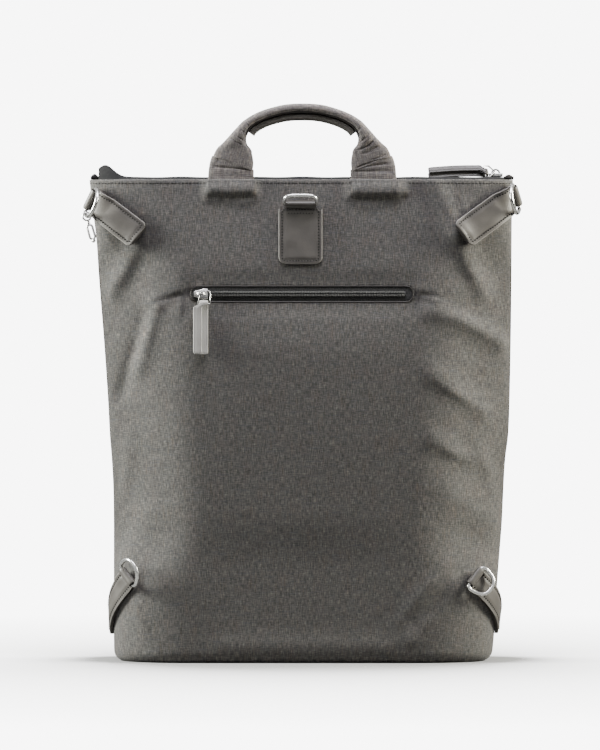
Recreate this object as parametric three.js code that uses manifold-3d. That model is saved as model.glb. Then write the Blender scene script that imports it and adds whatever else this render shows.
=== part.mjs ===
// Convertible backpack, standing upright, seen from its back face at -Y.
// Millimetres, +Z up, the origin in the middle of the flat base.
import * as THREE from 'three';
import { mergeVertices } from 'three/addons/utils/BufferGeometryUtils.js';
import Module from 'manifold-3d';

const wasm = await Module();
wasm.setup();

// Body: overall sizes of the sewn bag.
const bodyHeight = 420;
const topHalfWidth = 184.5;
const baseDepth = 116;
const topDepth = 46;
const baseNearY = -58;
const topNearY = -40;
const wall = 2;
const basePanelThickness = 2.4;
const seamGap = 0.4;
const nearCornerReach = 62;
const nearCornerShare = 0.44;
const farCornerRadius = 10;
const farCrown = 7;
const gussetDent = 4;
const bottomRounding = 9;
const seamFade = 24;
const seamCrowding = 0.36;

// Shares of the half width, left and right, at shares of the body height.
const girth = [
  { at: 0.00, left: 0.885, right: 0.905 },
  { at: 0.05, left: 0.888, right: 0.915 },
  { at: 0.22, left: 0.888, right: 0.934 },
  { at: 0.36, left: 0.888, right: 0.952 },
  { at: 0.45, left: 0.899, right: 0.960 },
  { at: 0.53, left: 0.910, right: 0.985 },
  { at: 0.66, left: 0.924, right: 0.990 },
  { at: 0.80, left: 0.944, right: 0.990 },
  { at: 0.92, left: 0.978, right: 0.992 },
  { at: 1.00, left: 1.000, right: 1.000 },
];

// Folds of the back panel: a line from one place to another, given as shares of the half width
// and of the body height, with its breadth and its rise in shares of the half width.
const folds = [
  { x0: 0.63, z0: 0.99, x1: 0.74, z1: 0.89, breadth: 0.045, rise: 0.016 },
  { x0: 0.74, z0: 0.89, x1: 0.86, z1: 0.77, breadth: 0.055, rise: 0.014 },
  { x0: 0.63, z0: 0.73, x1: 0.96, z1: 0.66, breadth: 0.050, rise: 0.013 },
  { x0: 0.62, z0: 0.60, x1: 0.86, z1: 0.52, breadth: 0.055, rise: 0.012 },
  { x0: 0.63, z0: 0.46, x1: 0.80, z1: 0.42, breadth: 0.050, rise: 0.011 },
  { x0: 0.72, z0: 0.35, x1: 0.90, z1: 0.28, breadth: 0.090, rise: 0.014 },
  { x0: 0.72, z0: 0.16, x1: 0.52, z1: 0.05, breadth: 0.050, rise: 0.010 },
  { x0: -0.69, z0: 0.74, x1: -0.77, z1: 0.61, breadth: 0.050, rise: 0.013 },
  { x0: -0.74, z0: 0.70, x1: -0.86, z1: 0.56, breadth: 0.045, rise: -0.010 },
  { x0: -0.77, z0: 0.87, x1: -0.90, z1: 0.77, breadth: 0.045, rise: 0.012 },
  { x0: -0.54, z0: 0.76, x1: -0.74, z1: 0.72, breadth: 0.035, rise: -0.009 },
  { x0: 0.56, z0: 0.75, x1: 0.72, z1: 0.73, breadth: 0.035, rise: -0.009 },
  { x0: -0.72, z0: 0.30, x1: -0.84, z1: 0.20, breadth: 0.070, rise: 0.011 },
  { x0: -0.35, z0: 0.03, x1: 0.40, z1: 0.03, breadth: 0.060, rise: 0.008 },
];

// Grab handle: a padded strap, broad at its ends and folded round a grip strip in the middle.
const handleSpan = 124;
const handleRise = 65.5;
const handleMiddleX = 1;
const handleEndWidth = 40;
const handleEndThickness = 5;
const handleEndDepth = 12;
const handleSwell = 2.6;
const handleEndY = topNearY - handleSwell + wall + 1.5 * seamGap + handleEndThickness / 2;
const gripBreadth = 20;
const gripStripStart = 0.262;
const gripStripThickness = 6.4;
const gripStripBreadth = 13;
const gripStripGap = 0.35;

// Half of the handle from its sewn end to its middle: the way out from the middle and up as shares
// of the half span and the rise (of the end's depth below the hem), then its width across the
// strap and its breadth from front to back as shares of the end's width and the grip's breadth.
const handleStations = [
  { at: 0.00, away: 1.000, rise: -1.000, thickness: 0.98, breadth: 0.25 },
  { at: 0.10, away: 1.000, rise: 0.000, thickness: 1.00, breadth: 0.25 },
  { at: 0.24, away: 0.966, rise: 0.255, thickness: 0.89, breadth: 0.45 },
  { at: 0.33, away: 0.940, rise: 0.390, thickness: 0.74, breadth: 0.58 },
  { at: 0.41, away: 0.918, rise: 0.495, thickness: 0.46, breadth: 0.78 },
  { at: 0.48, away: 0.872, rise: 0.600, thickness: 0.30, breadth: 0.92 },
  { at: 0.56, away: 0.776, rise: 0.725, thickness: 0.22, breadth: 1.00 },
  { at: 0.70, away: 0.580, rise: 0.838, thickness: 0.20, breadth: 1.00 },
  { at: 0.85, away: 0.320, rise: 0.915, thickness: 0.20, breadth: 1.00 },
  { at: 0.93, away: 0.150, rise: 0.938, thickness: 0.20, breadth: 1.00 },
  { at: 1.00, away: 0.000, rise: 0.943, thickness: 0.20, breadth: 1.00 },
];

// Zip closure of the top: two black bands with a row of teeth between them.
const bandThickness = 1.4;
const bandArch = 1.2;
const bandDrop = 3;
const bandTuck = 11;
const bandEndInset = 6;
const farEndPull = 5;
const closureHump = 4.5;
const teethWidth = 6;
const teethThickness = 2.4;
const zipEndWidth = 15;
const topSliderInset = 14.5;
const zipEndRise = { left: 2.2, right: 4.4 };

// Back pocket zip, set in a window of the back panel.
const pocketLength = 194;
const pocketHeight = 14;
const pocketMiddleX = 0.8;
const pocketUnderTab = 25.996;
const pocketTapeThickness = 1.4;
const pocketTeethWidth = 4.6;
const pocketSliderInset = 9.2;

// Sliders, links and the folded leather pulls.
const sliderLength = 12;
const sliderWidth = 9.5;
const sliderHeight = 4.2;
const bridgeWire = 0.8;
const bridgeClearHeight = 3.2;
const linkWire = 0.75;
const linkClearance = 0.4;
const linkHalfWidth = 5.4;
const linkLength = 11;
const topLinkLength = 9.5;
const pocketLinkDrop = 0.76;
const pullSlit = 0.5;
const pullLegWidth = 8;
const pullLegThickness = 2.2;
const pullLegSplay = 4.6;
const pocketPullLength = 44;
const topPullLength = 50;
const topPullForward = 3.4;
const topPullLift = 0.3;
const topPullSlope = -0.02;
const topPullTurn = -0.16;
const pocketPullLean = 1.15;
const topPullArch = 1.6;
const topLinkTwist = 0.5;
const topLinkNarrowing = 0.6;

// Leather tabs with a stitched patch and a fold that holds the bar of a D-ring.
const tabThickness = 2.8;
const tabLift = 0.5;
const foldWall = 1.5;
const barClearance = 0.45;
const ringWire = 1.75;
const ringOverhang = 3.4;
const foldOuter = ringWire + barClearance + foldWall;
const patchRounding = 0.16;
const patchShoulder = 2.2;

// Metal drop that hangs by its eye from the upper left ring.
const eyeRadius = 3.6;
const dropWire = 0.9;
const dropNeck = 4;
const dropSlotLength = 13;
const dropSlotWidth = 4.6;
const dropBall = 2;
const dropLean = 0.28;
const dropTurn = -1.1;

// Each tab: the middle of its sewn end and of its fold, along the panel from its middle line in
// shares of the half width and up from the base in shares of the body's height. Its widths, the
// ring's reach and the leather's bow are shares of a strap's width, and angle is the ring's at rest.
// An angle of 0 carries the ring on beyond the fold and 180 lays it back over the patch.
const strapWidth = 20;
const tabShares = [
  { name: 'center', endS: -0.0027, endZ: 0.8238, foldS: -0.0027, foldZ: 0.9464,
    width: 1.9, foldWidth: 1, reach: 0.85, angle: 52, bow: 0 },
  { name: 'top_left', endS: -0.7642, endZ: 0.8821, foldS: -0.9919, foldZ: 0.9583,
    width: 1.25, foldWidth: 0.95, reach: 0.85, angle: 153, bow: 0 },
  { name: 'top_right', endS: 0.7588, endZ: 0.8845, foldS: 1.019, foldZ: 0.9667,
    width: 1.3, foldWidth: 0.95, reach: 0.85, angle: 167, bow: 0 },
  { name: 'bottom_left', endS: -1.0732, endZ: 0.069, foldS: -0.8184, foldZ: 0.1774,
    width: 1, foldWidth: 0.85, reach: 0.85, angle: 18, bow: 0.075 },
  { name: 'bottom_right', endS: 1.084, endZ: 0.0714, foldS: 0.8184, foldZ: 0.1774,
    width: 1, foldWidth: 0.85, reach: 0.85, angle: 158, bow: 0.11 },
];
const tabs = tabShares.map((row) => ({
  ...row,
  endS: row.endS * topHalfWidth,
  foldS: row.foldS * topHalfWidth,
  endZ: row.endZ * bodyHeight,
  foldZ: row.foldZ * bodyHeight,
  width: row.width * strapWidth,
  foldWidth: row.foldWidth * strapWidth,
  reach: row.reach * strapWidth,
  bow: row.bow * strapWidth,
}));

// The pocket zip's middle lies under the foot of the centre tab.
const pocketMiddleZ = tabs[0].endZ - pocketUnderTab;

// Finishes as seen on the bag.
const finishes = {
  fabric: { color: 0x5b5a56, roughness: 0.92, metalness: 0 },
  handleFabric: { color: 0x625f58, roughness: 0.9, metalness: 0 },
  gripStrip: { color: 0x3b3936, roughness: 0.85, metalness: 0 },
  band: { color: 0x17171a, roughness: 0.9, metalness: 0 },
  teeth: { color: 0x2a2a2b, roughness: 0.5, metalness: 0.2 },
  leather: { color: 0x6b6660, roughness: 0.48, metalness: 0 },
  paleLeather: { color: 0x8b8780, roughness: 0.5, metalness: 0 },
  metal: { color: 0xc4c4c2, roughness: 0.22, metalness: 1 },
};

const backpack = new THREE.Group();
const quarterTurn = Math.PI / 2;

/** Adds one named sub-part to the group. */
function addPart(name, geometry, finish, parent = backpack) {
  const mesh = new THREE.Mesh(geometry, new THREE.MeshStandardMaterial(finishes[finish]));
  mesh.name = name;
  parent.add(mesh);
  return mesh;
}

/** A closed geometry from points and triangles, turned so that its faces point out. */
function closedGeometry(points, triangles) {
  const cross = new THREE.Vector3();
  let volume = 0;
  for (const [a, b, c] of triangles) {
    volume += cross.crossVectors(points[a], points[b]).dot(points[c]);
  }
  const ordered = volume < 0 ? triangles.map(([a, b, c]) => [a, c, b]) : triangles;
  const geometry = new THREE.BufferGeometry();
  geometry.setAttribute('position', new THREE.Float32BufferAttribute(
    points.flatMap((p) => [p.x, p.y, p.z]), 3));
  geometry.setIndex(ordered.flat());
  return geometry;
}

/** Joins rings of equal count into one closed body, with flat ends or closed on itself. */
function sweepRings(rings, endless = false) {
  const count = rings[0].length;
  const points = rings.flat();
  const triangles = [];
  const spans = endless ? rings.length : rings.length - 1;
  for (let i = 0; i < spans; i += 1) {
    const next = (i + 1) % rings.length;
    for (let k = 0; k < count; k += 1) {
      const a = i * count + k;
      const b = i * count + ((k + 1) % count);
      const c = next * count + k;
      const d = next * count + ((k + 1) % count);
      triangles.push([a, b, d], [a, d, c]);
    }
  }
  if (!endless) {
    const last = (rings.length - 1) * count;
    for (let k = 1; k < count - 1; k += 1) {
      triangles.push([0, k + 1, k], [last, last + k, last + k + 1]);
    }
  }
  return closedGeometry(points, triangles);
}

/** A closed sheet with a wall: place(u, v, side) gives its outer (0) and inner (1) face. */
function sheet(columns, rows, place) {
  const points = [];
  const index = (i, j, side) => (side * (rows + 1) + j) * (columns + 1) + i;
  for (const side of [0, 1]) {
    for (let j = 0; j <= rows; j += 1) {
      for (let i = 0; i <= columns; i += 1) {
        points.push(place(i / columns, j / rows, side));
      }
    }
  }
  const triangles = [];
  const quad = (a, b, c, d) => triangles.push([a, b, c], [a, c, d]);
  for (let j = 0; j < rows; j += 1) {
    for (let i = 0; i < columns; i += 1) {
      quad(index(i, j, 0), index(i + 1, j, 0), index(i + 1, j + 1, 0), index(i, j + 1, 0));
      quad(index(i, j, 1), index(i, j + 1, 1), index(i + 1, j + 1, 1), index(i + 1, j, 1));
    }
  }
  for (let i = 0; i < columns; i += 1) {
    quad(index(i, 0, 0), index(i, 0, 1), index(i + 1, 0, 1), index(i + 1, 0, 0));
    quad(index(i, rows, 0), index(i + 1, rows, 0), index(i + 1, rows, 1), index(i, rows, 1));
  }
  for (let j = 0; j < rows; j += 1) {
    quad(index(0, j, 0), index(0, j + 1, 0), index(0, j + 1, 1), index(0, j, 1));
    quad(index(columns, j, 0), index(columns, j, 1), index(columns, j + 1, 1), index(columns, j + 1, 0));
  }
  return closedGeometry(points, triangles);
}

/** A smooth value between the rows of a table, whose first column says where each row is. */
function smoothColumn(rows, column, place) {
  const last = rows.length - 1;
  let k = 0;
  while (k < last - 1 && place > rows[k + 1].at) k += 1;
  const slope = (i) => {
    const before = rows[Math.max(i - 1, 0)];
    const after = rows[Math.min(i + 1, last)];
    return (after[column] - before[column]) / (after.at - before.at);
  };
  const span = rows[k + 1].at - rows[k].at;
  const t = THREE.MathUtils.clamp((place - rows[k].at) / span, 0, 1);
  const t2 = t * t;
  const t3 = t2 * t;
  return (2 * t3 - 3 * t2 + 1) * rows[k][column] + (t3 - 2 * t2 + t) * span * slope(k)
    + (3 * t2 - 2 * t3) * rows[k + 1][column] + (t3 - t2) * span * slope(k + 1);
}

/** The level section of the bag at height z: half widths and the near, seam and far places. */
function section(z) {
  const height = z / bodyHeight;
  const ease = THREE.MathUtils.smoothstep(height, 0, 1) * 0.5 + height * 0.5;
  const rounding = z < bottomRounding
    ? bottomRounding - Math.sqrt(bottomRounding ** 2 - (bottomRounding - z) ** 2) : 0;
  const nearY = THREE.MathUtils.lerp(baseNearY, topNearY, height) + rounding;
  const depth = THREE.MathUtils.lerp(baseDepth, topDepth, ease) - 2 * rounding;
  return {
    left: smoothColumn(girth, 'left', height) * topHalfWidth - rounding,
    right: smoothColumn(girth, 'right', height) * topHalfWidth - rounding,
    nearY,
    seamY: nearY + depth * nearCornerShare,
    farY: nearY + depth,
  };
}

/** The near face's stretches at one side: its flat half, its rounded corner and their sum. */
function nearStretch(cut, side) {
  const half = side < 0 ? cut.left : cut.right;
  const rise = cut.seamY - cut.nearY;
  const steps = 24;
  const lengths = [0];
  for (let k = 0; k < steps; k += 1) {
    const angle = (k + 0.5) / steps * quarterTurn;
    const speed = Math.hypot(nearCornerReach * Math.cos(angle), rise * Math.sin(angle));
    lengths.push(lengths[k] + speed * quarterTurn / steps);
  }
  const flat = half - nearCornerReach;
  return { flat, rise, lengths, total: flat + lengths[steps] };
}

/** The angle round the corner's ellipse at a length past the flat stretch. */
function cornerAngle(stretch, past) {
  const { lengths } = stretch;
  const steps = lengths.length - 1;
  let k = 0;
  while (k < steps - 1 && past > lengths[k + 1]) k += 1;
  const share = (past - lengths[k]) / (lengths[k + 1] - lengths[k]);
  return THREE.MathUtils.clamp((k + share) / steps, 0, 1) * quarterTurn;
}

/** How far the folds and the handle ends lift the near face at a place along it. */
function foldRise(s, z) {
  let rise = 0;
  for (const fold of folds) {
    const line = new THREE.Line3(
      new THREE.Vector3(fold.x0 * topHalfWidth, fold.z0 * bodyHeight, 0),
      new THREE.Vector3(fold.x1 * topHalfWidth, fold.z1 * bodyHeight, 0));
    const here = new THREE.Vector3(s, z, 0);
    const nearest = line.closestPointToPoint(here, true, new THREE.Vector3());
    const away = here.distanceTo(nearest) / (fold.breadth * topHalfWidth);
    rise += fold.rise * topHalfWidth * Math.exp(-away * away);
  }
  return rise + handleSwell * handleWindow(s) * THREE.MathUtils.smoothstep(
    z, bodyHeight - 2 * handleEndDepth, bodyHeight - handleEndDepth);
}

/** 1 across each end of the handle, falling to 0 beside it. */
function handleWindow(x) {
  const away = Math.abs(Math.abs(x - handleMiddleX) - handleSpan / 2);
  return 1 - THREE.MathUtils.smoothstep(away, handleEndWidth / 2, handleEndWidth / 2 + 8);
}

/** A place on the outside at s along the near face and z up, with its outward normal. */
function nearPlace(s, z) {
  const cut = section(z);
  const side = s < 0 ? -1 : 1;
  const stretch = nearStretch(cut, side);
  const past = Math.abs(s) - stretch.flat;
  const angle = cornerAngle(stretch, past);
  const x = past < 0 ? Math.abs(s) : stretch.flat + nearCornerReach * Math.sin(angle);
  const beyond = Math.max(Math.abs(s) - stretch.total, 0);
  const y = cut.nearY + stretch.rise * (1 - Math.cos(angle)) + beyond;
  const normal = new THREE.Vector3(
    side * Math.sin(angle) * stretch.rise, -Math.cos(angle) * nearCornerReach, 0).normalize();
  const fade = THREE.MathUtils.smoothstep(stretch.total - Math.abs(s), 0, seamFade)
    * THREE.MathUtils.smoothstep(z, 0, 2 * bottomRounding);
  const point = new THREE.Vector3(side * x, y, z).addScaledVector(normal, fade * foldRise(s, z));
  return { point, normal };
}

/** Turns a geometry into a solid that can be joined and cut. */
function toSolid(geometry) {
  const vertProperties = new Float32Array(geometry.attributes.position.array);
  const triVerts = new Uint32Array(geometry.index.array);
  return new wasm.Manifold(new wasm.Mesh({ numProp: 3, vertProperties, triVerts }));
}

/** Turns a cut solid back into a geometry. */
function toGeometry(solid) {
  const mesh = solid.getMesh();
  const geometry = new THREE.BufferGeometry();
  geometry.setAttribute('position', new THREE.BufferAttribute(mesh.vertProperties, 3));
  geometry.setIndex(new THREE.BufferAttribute(mesh.triVerts, 1));
  return geometry;
}

/** The inside of the near face at x and z, met by what is sewn behind it. */
function nearInnerY(x, z) {
  const cut = section(z);
  const stretch = nearStretch(cut, x);
  const past = Math.max(Math.abs(x) - stretch.flat, 0);
  const share = Math.min(past / (nearCornerReach - wall), 1);
  const innerRise = stretch.rise - wall;
  return cut.seamY - innerRise * Math.sqrt(1 - share * share) - handleSwell * handleWindow(x);
}

/** Spreads columns over a panel from -1 to 1, closer together towards its side seams. */
function towardSeams(share) {
  const across = 2 * share - 1;
  return across * (1 + seamCrowding * (1 - across * across));
}

/** A row's height, with close rows round the bottom edge and even ones above. */
function rowHeight(share, rows) {
  const row = Math.round(share * rows);
  const roundRows = 3;
  return row <= roundRows
    ? bottomRounding * row / roundRows
    : bottomRounding + (bodyHeight - bottomRounding) * (row - roundRows) / (rows - roundRows);
}

/** The back panel, wrapped round to the side seams, with the window for the pocket zip. */
function backPanel() {
  const columns = 30;
  const rows = 25;
  const skin = sheet(columns, rows, (u, v, side) => {
    const z = rowHeight(v, rows);
    const across = towardSeams(u);
    const s = across * (nearStretch(section(z), across).total - seamGap / 2);
    const { point, normal } = nearPlace(s, z);
    return point.addScaledVector(normal, -side * wall);
  });
  const window = stadium(pocketLength, pocketHeight, bodyHeight, baseNearY - bodyHeight / 2);
  return toGeometry(toSolid(skin).subtract(toSolid(window)));
}

/** A bar with rounded ends that lies along X and is deep along Y, at the pocket zip's place. */
function stadium(length, height, depth, startY) {
  const shape = new THREE.Shape();
  const radius = height / 2;
  shape.absarc(length / 2 - radius, 0, radius, -quarterTurn, quarterTurn, false);
  shape.absarc(radius - length / 2, 0, radius, quarterTurn, 3 * quarterTurn, false);
  const outline = shape.getPoints(6).slice(0, -1);
  const rings = [0, depth].map((reach) => outline.map(
    (p) => new THREE.Vector3(pocketMiddleX + p.x, startY + reach, pocketMiddleZ + p.y)));
  return sweepRings(rings);
}

/** A side gusset from the seam back to the front panel, dented a little as a soft side is. */
function gusset(side) {
  const columns = 3;
  const rows = 14;
  return sheet(columns, rows, (u, v, face) => {
    const z = rowHeight(v, rows);
    const cut = section(z);
    const half = side < 0 ? cut.left : cut.right;
    const y = THREE.MathUtils.lerp(
      cut.seamY + seamGap / 2, cut.farY - farCornerRadius - seamGap / 2, u);
    const dent = gussetDent * Math.sin(Math.PI * u) * Math.sin(Math.PI * z / bodyHeight);
    return new THREE.Vector3(side * (half - dent - face * wall), y, z);
  });
}

/** The front panel on the far side, crowned and turned round to the gussets. */
function frontPanel() {
  const columns = 18;
  const rows = 13;
  const cornerColumns = 3;
  return sheet(columns, rows, (u, v, face) => {
    const z = rowHeight(v, rows);
    const cut = section(z);
    const column = Math.abs(2 * u - 1) * columns / 2;
    const side = u < 0.5 ? -1 : 1;
    const half = side < 0 ? cut.left : cut.right;
    const flat = half - farCornerRadius;
    const flatColumns = columns / 2 - cornerColumns;
    const angle = Math.max(column - flatColumns, 0) / cornerColumns
      * (quarterTurn - 0.5 * seamGap / farCornerRadius);
    const radius = farCornerRadius - face * wall;
    const x = flat * Math.min(column / flatColumns, 1) + radius * Math.sin(angle);
    const crown = farCrown * Math.max(1 - (x / flat) ** 2, 0) * Math.sin(Math.PI * z / bodyHeight);
    const y = cut.farY - farCornerRadius + radius * Math.cos(angle) + crown;
    return new THREE.Vector3(side * x, y, z);
  });
}

/** The flat base inside the lower edges of the walls. */
function basePanel() {
  const cut = section(0);
  const inset = wall + seamGap;
  const outline = [];
  const stations = 8;
  for (const side of [-1, 1]) {
    const half = side < 0 ? cut.left : cut.right;
    const corner = [];
    for (let k = 0; k <= stations; k += 1) {
      const angle = k / stations * quarterTurn;
      corner.push(new THREE.Vector2(
        side * (half - nearCornerReach + (nearCornerReach - inset) * Math.sin(angle)),
        cut.seamY - (cut.seamY - cut.nearY - inset) * Math.cos(angle)));
    }
    const radius = farCornerRadius - inset;
    for (let k = 0; k <= 4; k += 1) {
      const angle = k / 4 * quarterTurn;
      corner.push(new THREE.Vector2(
        side * (half - farCornerRadius + radius * Math.cos(angle)),
        cut.farY - farCornerRadius + radius * Math.sin(angle)));
    }
    outline.push(...(side < 0 ? corner.reverse() : corner));
  }
  const rings = [0, basePanelThickness].map((z) => outline.map((p) => new THREE.Vector3(p.x, p.y, z)));
  return sweepRings(rings);
}

/** How high the zip closure stands above the hem at x: it humps up near its left end. */
function closureRise(x) {
  const humpMiddle = -0.875 * topHalfWidth;
  const humpBreadth = 0.075 * topHalfWidth;
  return bandArch + closureHump * Math.exp(-(((x - humpMiddle) / humpBreadth) ** 2));
}

/** A band of the zip closure, tucked down inside the hem and arched up to the teeth. */
function closureBand(side) {
  const columns = 26;
  const top = section(bodyHeight);
  const middleY = topNearY + topDepth / 2;
  const profile = [
    { out: 1, drop: bandTuck, lift: 0 },
    { out: 1, drop: bandDrop, lift: 0 },
    { out: 0.6, drop: bandDrop * 0.2, lift: 0.6 },
    { out: 0, drop: 0, lift: 1 },
  ];
  return sheet(columns, profile.length - 1, (u, v, face) => {
    const x = THREE.MathUtils.lerp(bandEndInset + wall - top.left, top.right - bandEndInset - wall, u);
    const row = profile[Math.round(v * (profile.length - 1))];
    const pocket = (handleEndThickness + 2 * seamGap) * handleWindow(x);
    const hemY = side < 0
      ? Math.max(nearInnerY(x, bodyHeight), nearInnerY(x, bodyHeight - bandTuck)) + seamGap + pocket
      : top.farY - wall - seamGap - farEndPull * (x / topHalfWidth) ** 8;
    const teethY = middleY + side * (teethWidth / 2 + seamGap);
    const y = THREE.MathUtils.lerp(teethY, hemY, row.out);
    const z = bodyHeight - row.drop + row.lift * closureRise(x);
    const inward = row.lift === 0 ? new THREE.Vector3(0, -side, 0) : new THREE.Vector3(0, 0, -1);
    return new THREE.Vector3(x, y, z).addScaledVector(inward, face * bandThickness);
  });
}

/** The row of closed teeth along the middle of the closure. */
function closureTeeth() {
  const columns = 26;
  const middleY = topNearY + topDepth / 2;
  const reach = topHalfWidth - bandEndInset - wall;
  const rings = [];
  for (let i = 0; i <= columns; i += 1) {
    const x = THREE.MathUtils.lerp(-reach, reach, i / columns);
    const z = bodyHeight + closureRise(x);
    rings.push([[-0.5, -0.6], [0.5, -0.6], [0.5, 0.1], [0.25, 0.4], [-0.25, 0.4], [-0.5, 0.1]].map(
      ([y, h]) => new THREE.Vector3(x, middleY + y * teethWidth, z + h * teethThickness)));
  }
  return sweepRings(rings);
}

/** A body of rounded rectangular slices, each a row with its place, half sizes and middle. */
function slicedBody(rows, corners = 3) {
  const rings = rows.map((row) => {
    const shape = new THREE.Shape();
    const radius = Math.min(row.halfWidth, row.halfHeight) * 0.55;
    const w = row.halfWidth - radius;
    const h = row.halfHeight - radius;
    shape.absarc(w, h, radius, 0, quarterTurn);
    shape.absarc(-w, h, radius, quarterTurn, 2 * quarterTurn);
    shape.absarc(-w, -h, radius, 2 * quarterTurn, 3 * quarterTurn);
    shape.absarc(w, -h, radius, 3 * quarterTurn, 4 * quarterTurn);
    return shape.getPoints(corners).slice(0, -1).map(
      (p) => new THREE.Vector3(row.along, p.x, p.y + (row.lift ?? 0)));
  });
  return sweepRings(rings);
}

/** A wire of round section along a closed loop of points. */
function closedWire(points, radius, sides = 7) {
  const count = points.length;
  const centre = points.reduce((sum, p) => sum.add(p), new THREE.Vector3()).divideScalar(count);
  const rings = points.map((p, i) => {
    const along = new THREE.Vector3()
      .subVectors(points[(i + 1) % count], points[(i + count - 1) % count]).normalize();
    const inward = new THREE.Vector3().subVectors(centre, p);
    inward.addScaledVector(along, -inward.dot(along)).normalize();
    const across = new THREE.Vector3().crossVectors(along, inward);
    return Array.from({ length: sides }, (_, k) => {
      const turn = k / sides * 4 * quarterTurn;
      return p.clone()
        .addScaledVector(inward, radius * Math.cos(turn))
        .addScaledVector(across, radius * Math.sin(turn));
    });
  });
  return sweepRings(rings, true);
}

/** A flat oval loop of wire in the XY plane, long in X. */
function ovalLoop(length, width, radius) {
  const straight = length / 2 - width / 2;
  const points = [];
  for (const [middle, start] of [[straight, -quarterTurn], [-straight, quarterTurn]]) {
    for (let k = 0; k <= 6; k += 1) {
      const turn = start + k / 6 * 2 * quarterTurn;
      points.push(new THREE.Vector3(
        middle + width / 2 * Math.cos(turn), width / 2 * Math.sin(turn), 0));
    }
  }
  return closedWire(points, radius);
}

/** A zip slider along X, lying on the XY plane, with the bridge that holds its link. */
function zipSlider() {
  const body = slicedBody([
    { along: -0.5 * sliderLength, halfWidth: 0.26 * sliderWidth, halfHeight: 0.34 * sliderHeight },
    { along: -0.2 * sliderLength, halfWidth: 0.36 * sliderWidth, halfHeight: 0.42 * sliderHeight },
    { along: 0.2 * sliderLength, halfWidth: 0.5 * sliderWidth, halfHeight: 0.42 * sliderHeight },
    { along: 0.5 * sliderLength, halfWidth: 0.46 * sliderWidth, halfHeight: 0.34 * sliderHeight },
  ]);
  body.translate(0, 0, 0.42 * sliderHeight);
  const bridgeRise = bridgeClearHeight + 2 * bridgeWire;
  const feet = 0.36 * sliderLength;
  const rings = [];
  for (let k = 0; k <= 8; k += 1) {
    const turn = k / 8 * 2 * quarterTurn;
    const away = (radius) => new THREE.Vector2(
      (feet - bridgeWire + radius) * Math.cos(turn), (bridgeRise - bridgeWire + radius) * Math.sin(turn));
    const outer = away(bridgeWire);
    const inner = away(-bridgeWire);
    const base = 0.62 * sliderHeight;
    rings.push([[outer, -1], [outer, 1], [inner, 1], [inner, -1]].map(
      ([p, y]) => new THREE.Vector3(p.x, y * bridgeWire * 1.3, base + p.y)));
  }
  return toGeometry(toSolid(body).add(toSolid(sweepRings(rings))));
}

/** A leather pull folded over its link: two legs along X, the rear one set off sideways. */
function foldedPull(length, sag) {
  const eye = linkWire + linkClearance;
  const outer = eye + pullLegThickness - 0.2;
  const slit = pullSlit / 2;
  const steps = 7;
  const at = (k) => length * k / steps;
  const shape = new THREE.Shape();
  shape.moveTo(length, outer);
  for (let k = steps - 1; k > 0; k -= 1) shape.lineTo(at(k), outer);
  shape.absarc(0, 0, outer, quarterTurn, 3 * quarterTurn);
  for (let k = 1; k <= steps; k += 1) shape.lineTo(at(k), -outer);
  const slitStart = Math.sqrt(eye * eye - slit * slit);
  const gape = Math.asin(slit / eye);
  for (let k = steps; k > 0; k -= 1) shape.lineTo(at(k), -slit);
  shape.lineTo(slitStart, -slit);
  shape.absarc(0, 0, eye, 4 * quarterTurn - gape, gape, true);
  for (let k = 1; k <= steps; k += 1) shape.lineTo(at(k), slit);
  shape.closePath();
  const geometry = new THREE.ExtrudeGeometry(
    shape, { depth: 1, steps: 1, bevelEnabled: false, curveSegments: 5 });
  const position = geometry.attributes.position;
  for (let i = 0; i < position.count; i += 1) {
    const x = position.getX(i);
    const y = position.getY(i);
    const share = THREE.MathUtils.clamp(x / length, 0, 1);
    const splay = y < 0 ? pullLegSplay * THREE.MathUtils.smoothstep(share, 0, 0.3) : 0;
    const width = pullLegWidth * (x > length * 0.97 ? 0.86 : 1);
    const z = (position.getZ(i) - 0.5) * width + splay + sag * Math.sin(Math.PI * share);
    position.setZ(i, z);
  }
  return geometry;
}

/** The turned place of a tab's fold: its origin on the skin, the way out of the patch and up. */
function foldFrame(tab) {
  const length = Math.hypot(tab.foldS - tab.endS, tab.foldZ - tab.endZ);
  const stepS = (tab.foldS - tab.endS) / length;
  const stepZ = (tab.foldZ - tab.endZ) / length;
  const here = nearPlace(tab.foldS, tab.foldZ);
  const before = nearPlace(tab.foldS - stepS * foldOuter, tab.foldZ - stepZ * foldOuter);
  const out = new THREE.Vector3().subVectors(here.point, before.point);
  out.addScaledVector(here.normal, -out.dot(here.normal)).normalize();
  const across = new THREE.Vector3().crossVectors(out, here.normal);
  const matrix = new THREE.Matrix4().makeBasis(out, here.normal, across);
  matrix.setPosition(here.point);
  return { length, stepS, stepZ, matrix };
}

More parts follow.
